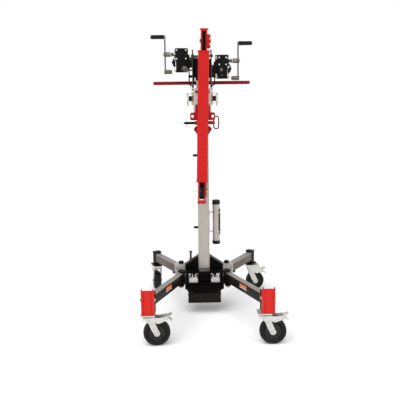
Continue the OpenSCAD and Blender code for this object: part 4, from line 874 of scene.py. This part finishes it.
def add_hub_bolts():
    bm = bmesh.new()
    for side in (-1, 1):
        for y in (-60, 0, 60):
            add_bolt(bm, 4.2, 3.6, move(side * 102, y, 120) @ (TO_RIGHT if side > 0 else TO_LEFT))
    for x in (-70, 0, 70):
        add_bolt(bm, 4.2, 3.6, move(x, 89, 120) @ TO_BACK)
    piece("hub_bolts", bm, BLACK, "base")


def add_hub_deck(side, name):
    """Bright plates round the leg plunger's hole, on both sides alike."""
    bm = bmesh.new()
    for near, far, y0, y1 in ((51, 74, -8, 94), (74.4, 98, -8, 38), (74.4, 98, 58, 94)):
        low, high = sorted((side * near, side * far))
        add_block(bm, (low, y0, DECK_Z + 0.1), (high, y1, DECK_Z + 2.1), 0.5)
    for y in (4, 84):
        add_dome(bm, 3.4, 1.6, move(side * 91, y, DECK_Z + 2.1))
    piece("hub_deck_" + name, bm, BRIGHT_PLATE, "base")


def add_hub_box_ribs():
    bm = bmesh.new()
    for side in (-1, 1):
        for z in (84, 150):
            add_block(bm, (side * 51 - 38, -90.4, z - 1.5), (side * 51 + 38, -88, z + 1.5), 0.9)
    add_sweep(bm, square_path(101.4, 88.4, 76.5, 5), 1.6, 8, closed=True)
    piece("hub_box_ribs", bm, BLACK, "base")


def add_casting_parts(side, corner):
    """Rivets, bead, bar and arch of a rear leg's pivot casting."""
    bm = bmesh.new()
    for x, z in ((-34, 252), (34, 252), (-22, 285), (24, 285)):
        add_dome(bm, 3.6, 2.2, move(side * (CASTING_X + x), 38, z) @ TO_FRONT)
    add_sweep(bm, [(side * (CASTING_X + x), 37.6, z) for x, z in
                   ((-18, 212), (-18, 248), (-12, 258.6), (12, 258.6), (18, 248), (18, 212))],
              1.5, 8)
    piece("casting_trim_" + corner, bm, CAST_ALLOY, "base")
    bm = bmesh.new()
    # dark discs painted as the shade inside the casting's open pockets, and the black bar across its foot
    for x, z in ((-26, 266), (27, 264)):
        add_turned(bm, [(0, 0), (4.2, 0), (4.2, 0.8), (3.2, 1.4), (0, 1.4)],
                   move(side * (CASTING_X + x), 37.9, z) @ TO_FRONT, 24)
    low, high = sorted((side * 166, side * 202))
    add_block(bm, (low, 40, 228), (high, 50, 241), 2.0)
    piece("casting_bar_" + corner, bm, BLACK, "base")
    bm = bmesh.new()
    # black plate and nut seen through the jaw's arch
    middle = side * CASTING_X
    add_block(bm, (middle - 24, 47.5, 207), (middle + 24, 51, 262), 1.0)
    add_bolt(bm, 9, 8, move(middle, 47.8, 246) @ TO_FRONT, washer=1.3)
    piece("arch_plate_" + corner, bm, BLACK, "base")


def add_knob_parts(side, corner):
    bm = bmesh.new()
    add_turned(bm, [(13.4, 284.2), (16.4, 284.8), (17.2, 287), (17.2, 295), (15.2, 299.2),
                    (11.6, 300.4), (10.4, 297.6), (10.4, 285.5)],
               move(side * PIVOT_X, PIVOT_Y, 0) @ turn(14, "Z"), 6, closed=True)
    piece("knob_lobes_" + corner, bm, BLACK_PLASTIC, "knob_" + corner, sharp=30)
    bm = bmesh.new()
    add_turned(bm, [(0, 0), (9, 0), (9, 1.2), (7.6, 2.4), (4.5, 2.4), (3.8, 1.6), (0, 1.6)],
               move(side * PIVOT_X, PIVOT_Y, 298), 32)
    piece("knob_insert_" + corner, bm, DARK_STEEL, "knob_" + corner)


def add_lock_parts():
    bm = bmesh.new()
    for side in (-1, 1):
        for x in (50, 88):
            add_bolt(bm, 4.2, 3.6, move(side * x, -86, 219) @ TO_FRONT)
    piece("lock_screws", bm, ZINC, "base")
    for side, name in ((-1, "left"), (1, "right")):
        bm = bmesh.new()
        # bent grip in front of the lock pin
        add_turned(bm, [(0, 241), (6.4, 241), (7.0, 242.4), (7.0, 253), (5.6, 255.4), (0, 256)],
                   move(side * 66, -65, 0), 28)
        add_block(bm, (side * 66 - 3.2, -64, 250.4), (side * 66 + 3.2, -44, 254.4), 1.0)
        piece("pin_grip_" + name, bm, BLACK_PLASTIC, "lock_pin_" + name)


def add_plunger_parts():
    bm = bmesh.new()
    add_turned(bm, [(5.15, 326), (6.6, 326.5), (6.6, 362), (5.15, 363.5)], move(*PLUNGER), 28,
               closed=True)
    piece("plunger_sleeve", bm, OXIDE, "leg_plunger")
    bm = bmesh.new()
    add_turned(bm, [(5.15, 315), (9.6, 315), (9.8, 316.4), (9.8, 321.5), (8.2, 325), (5.15, 325.6)],
               move(*PLUNGER), 28, closed=True)
    piece("plunger_ring", bm, RED_DEEP_SHADED, "leg_plunger")


def add_hub_parts():
    add_hub_bolts()
    for side, name in ((-1, "left"), (1, "right")):
        add_hub_deck(side, name)
    add_hub_box_ribs()
    for side, corner in ((-1, "rl"), (1, "rr")):
        add_casting_parts(side, corner)
        add_knob_parts(side, corner)
    add_lock_parts()
    add_plunger_parts()


add_camera()
add_studio()
add_floor()
for corner in CORNERS:
    add_wheel_parts(corner)
    add_leg_parts(corner)
for corner in ("fl", "fr"):
    add_channel_parts(corner)
add_winch_parts()
add_carriage_parts()
add_mast_parts()
add_tube_parts()
add_push_bar_parts()
add_winch_sleeve()
add_sheave_guards()
add_boom_parts()
add_collar_beads()
add_hub_parts()
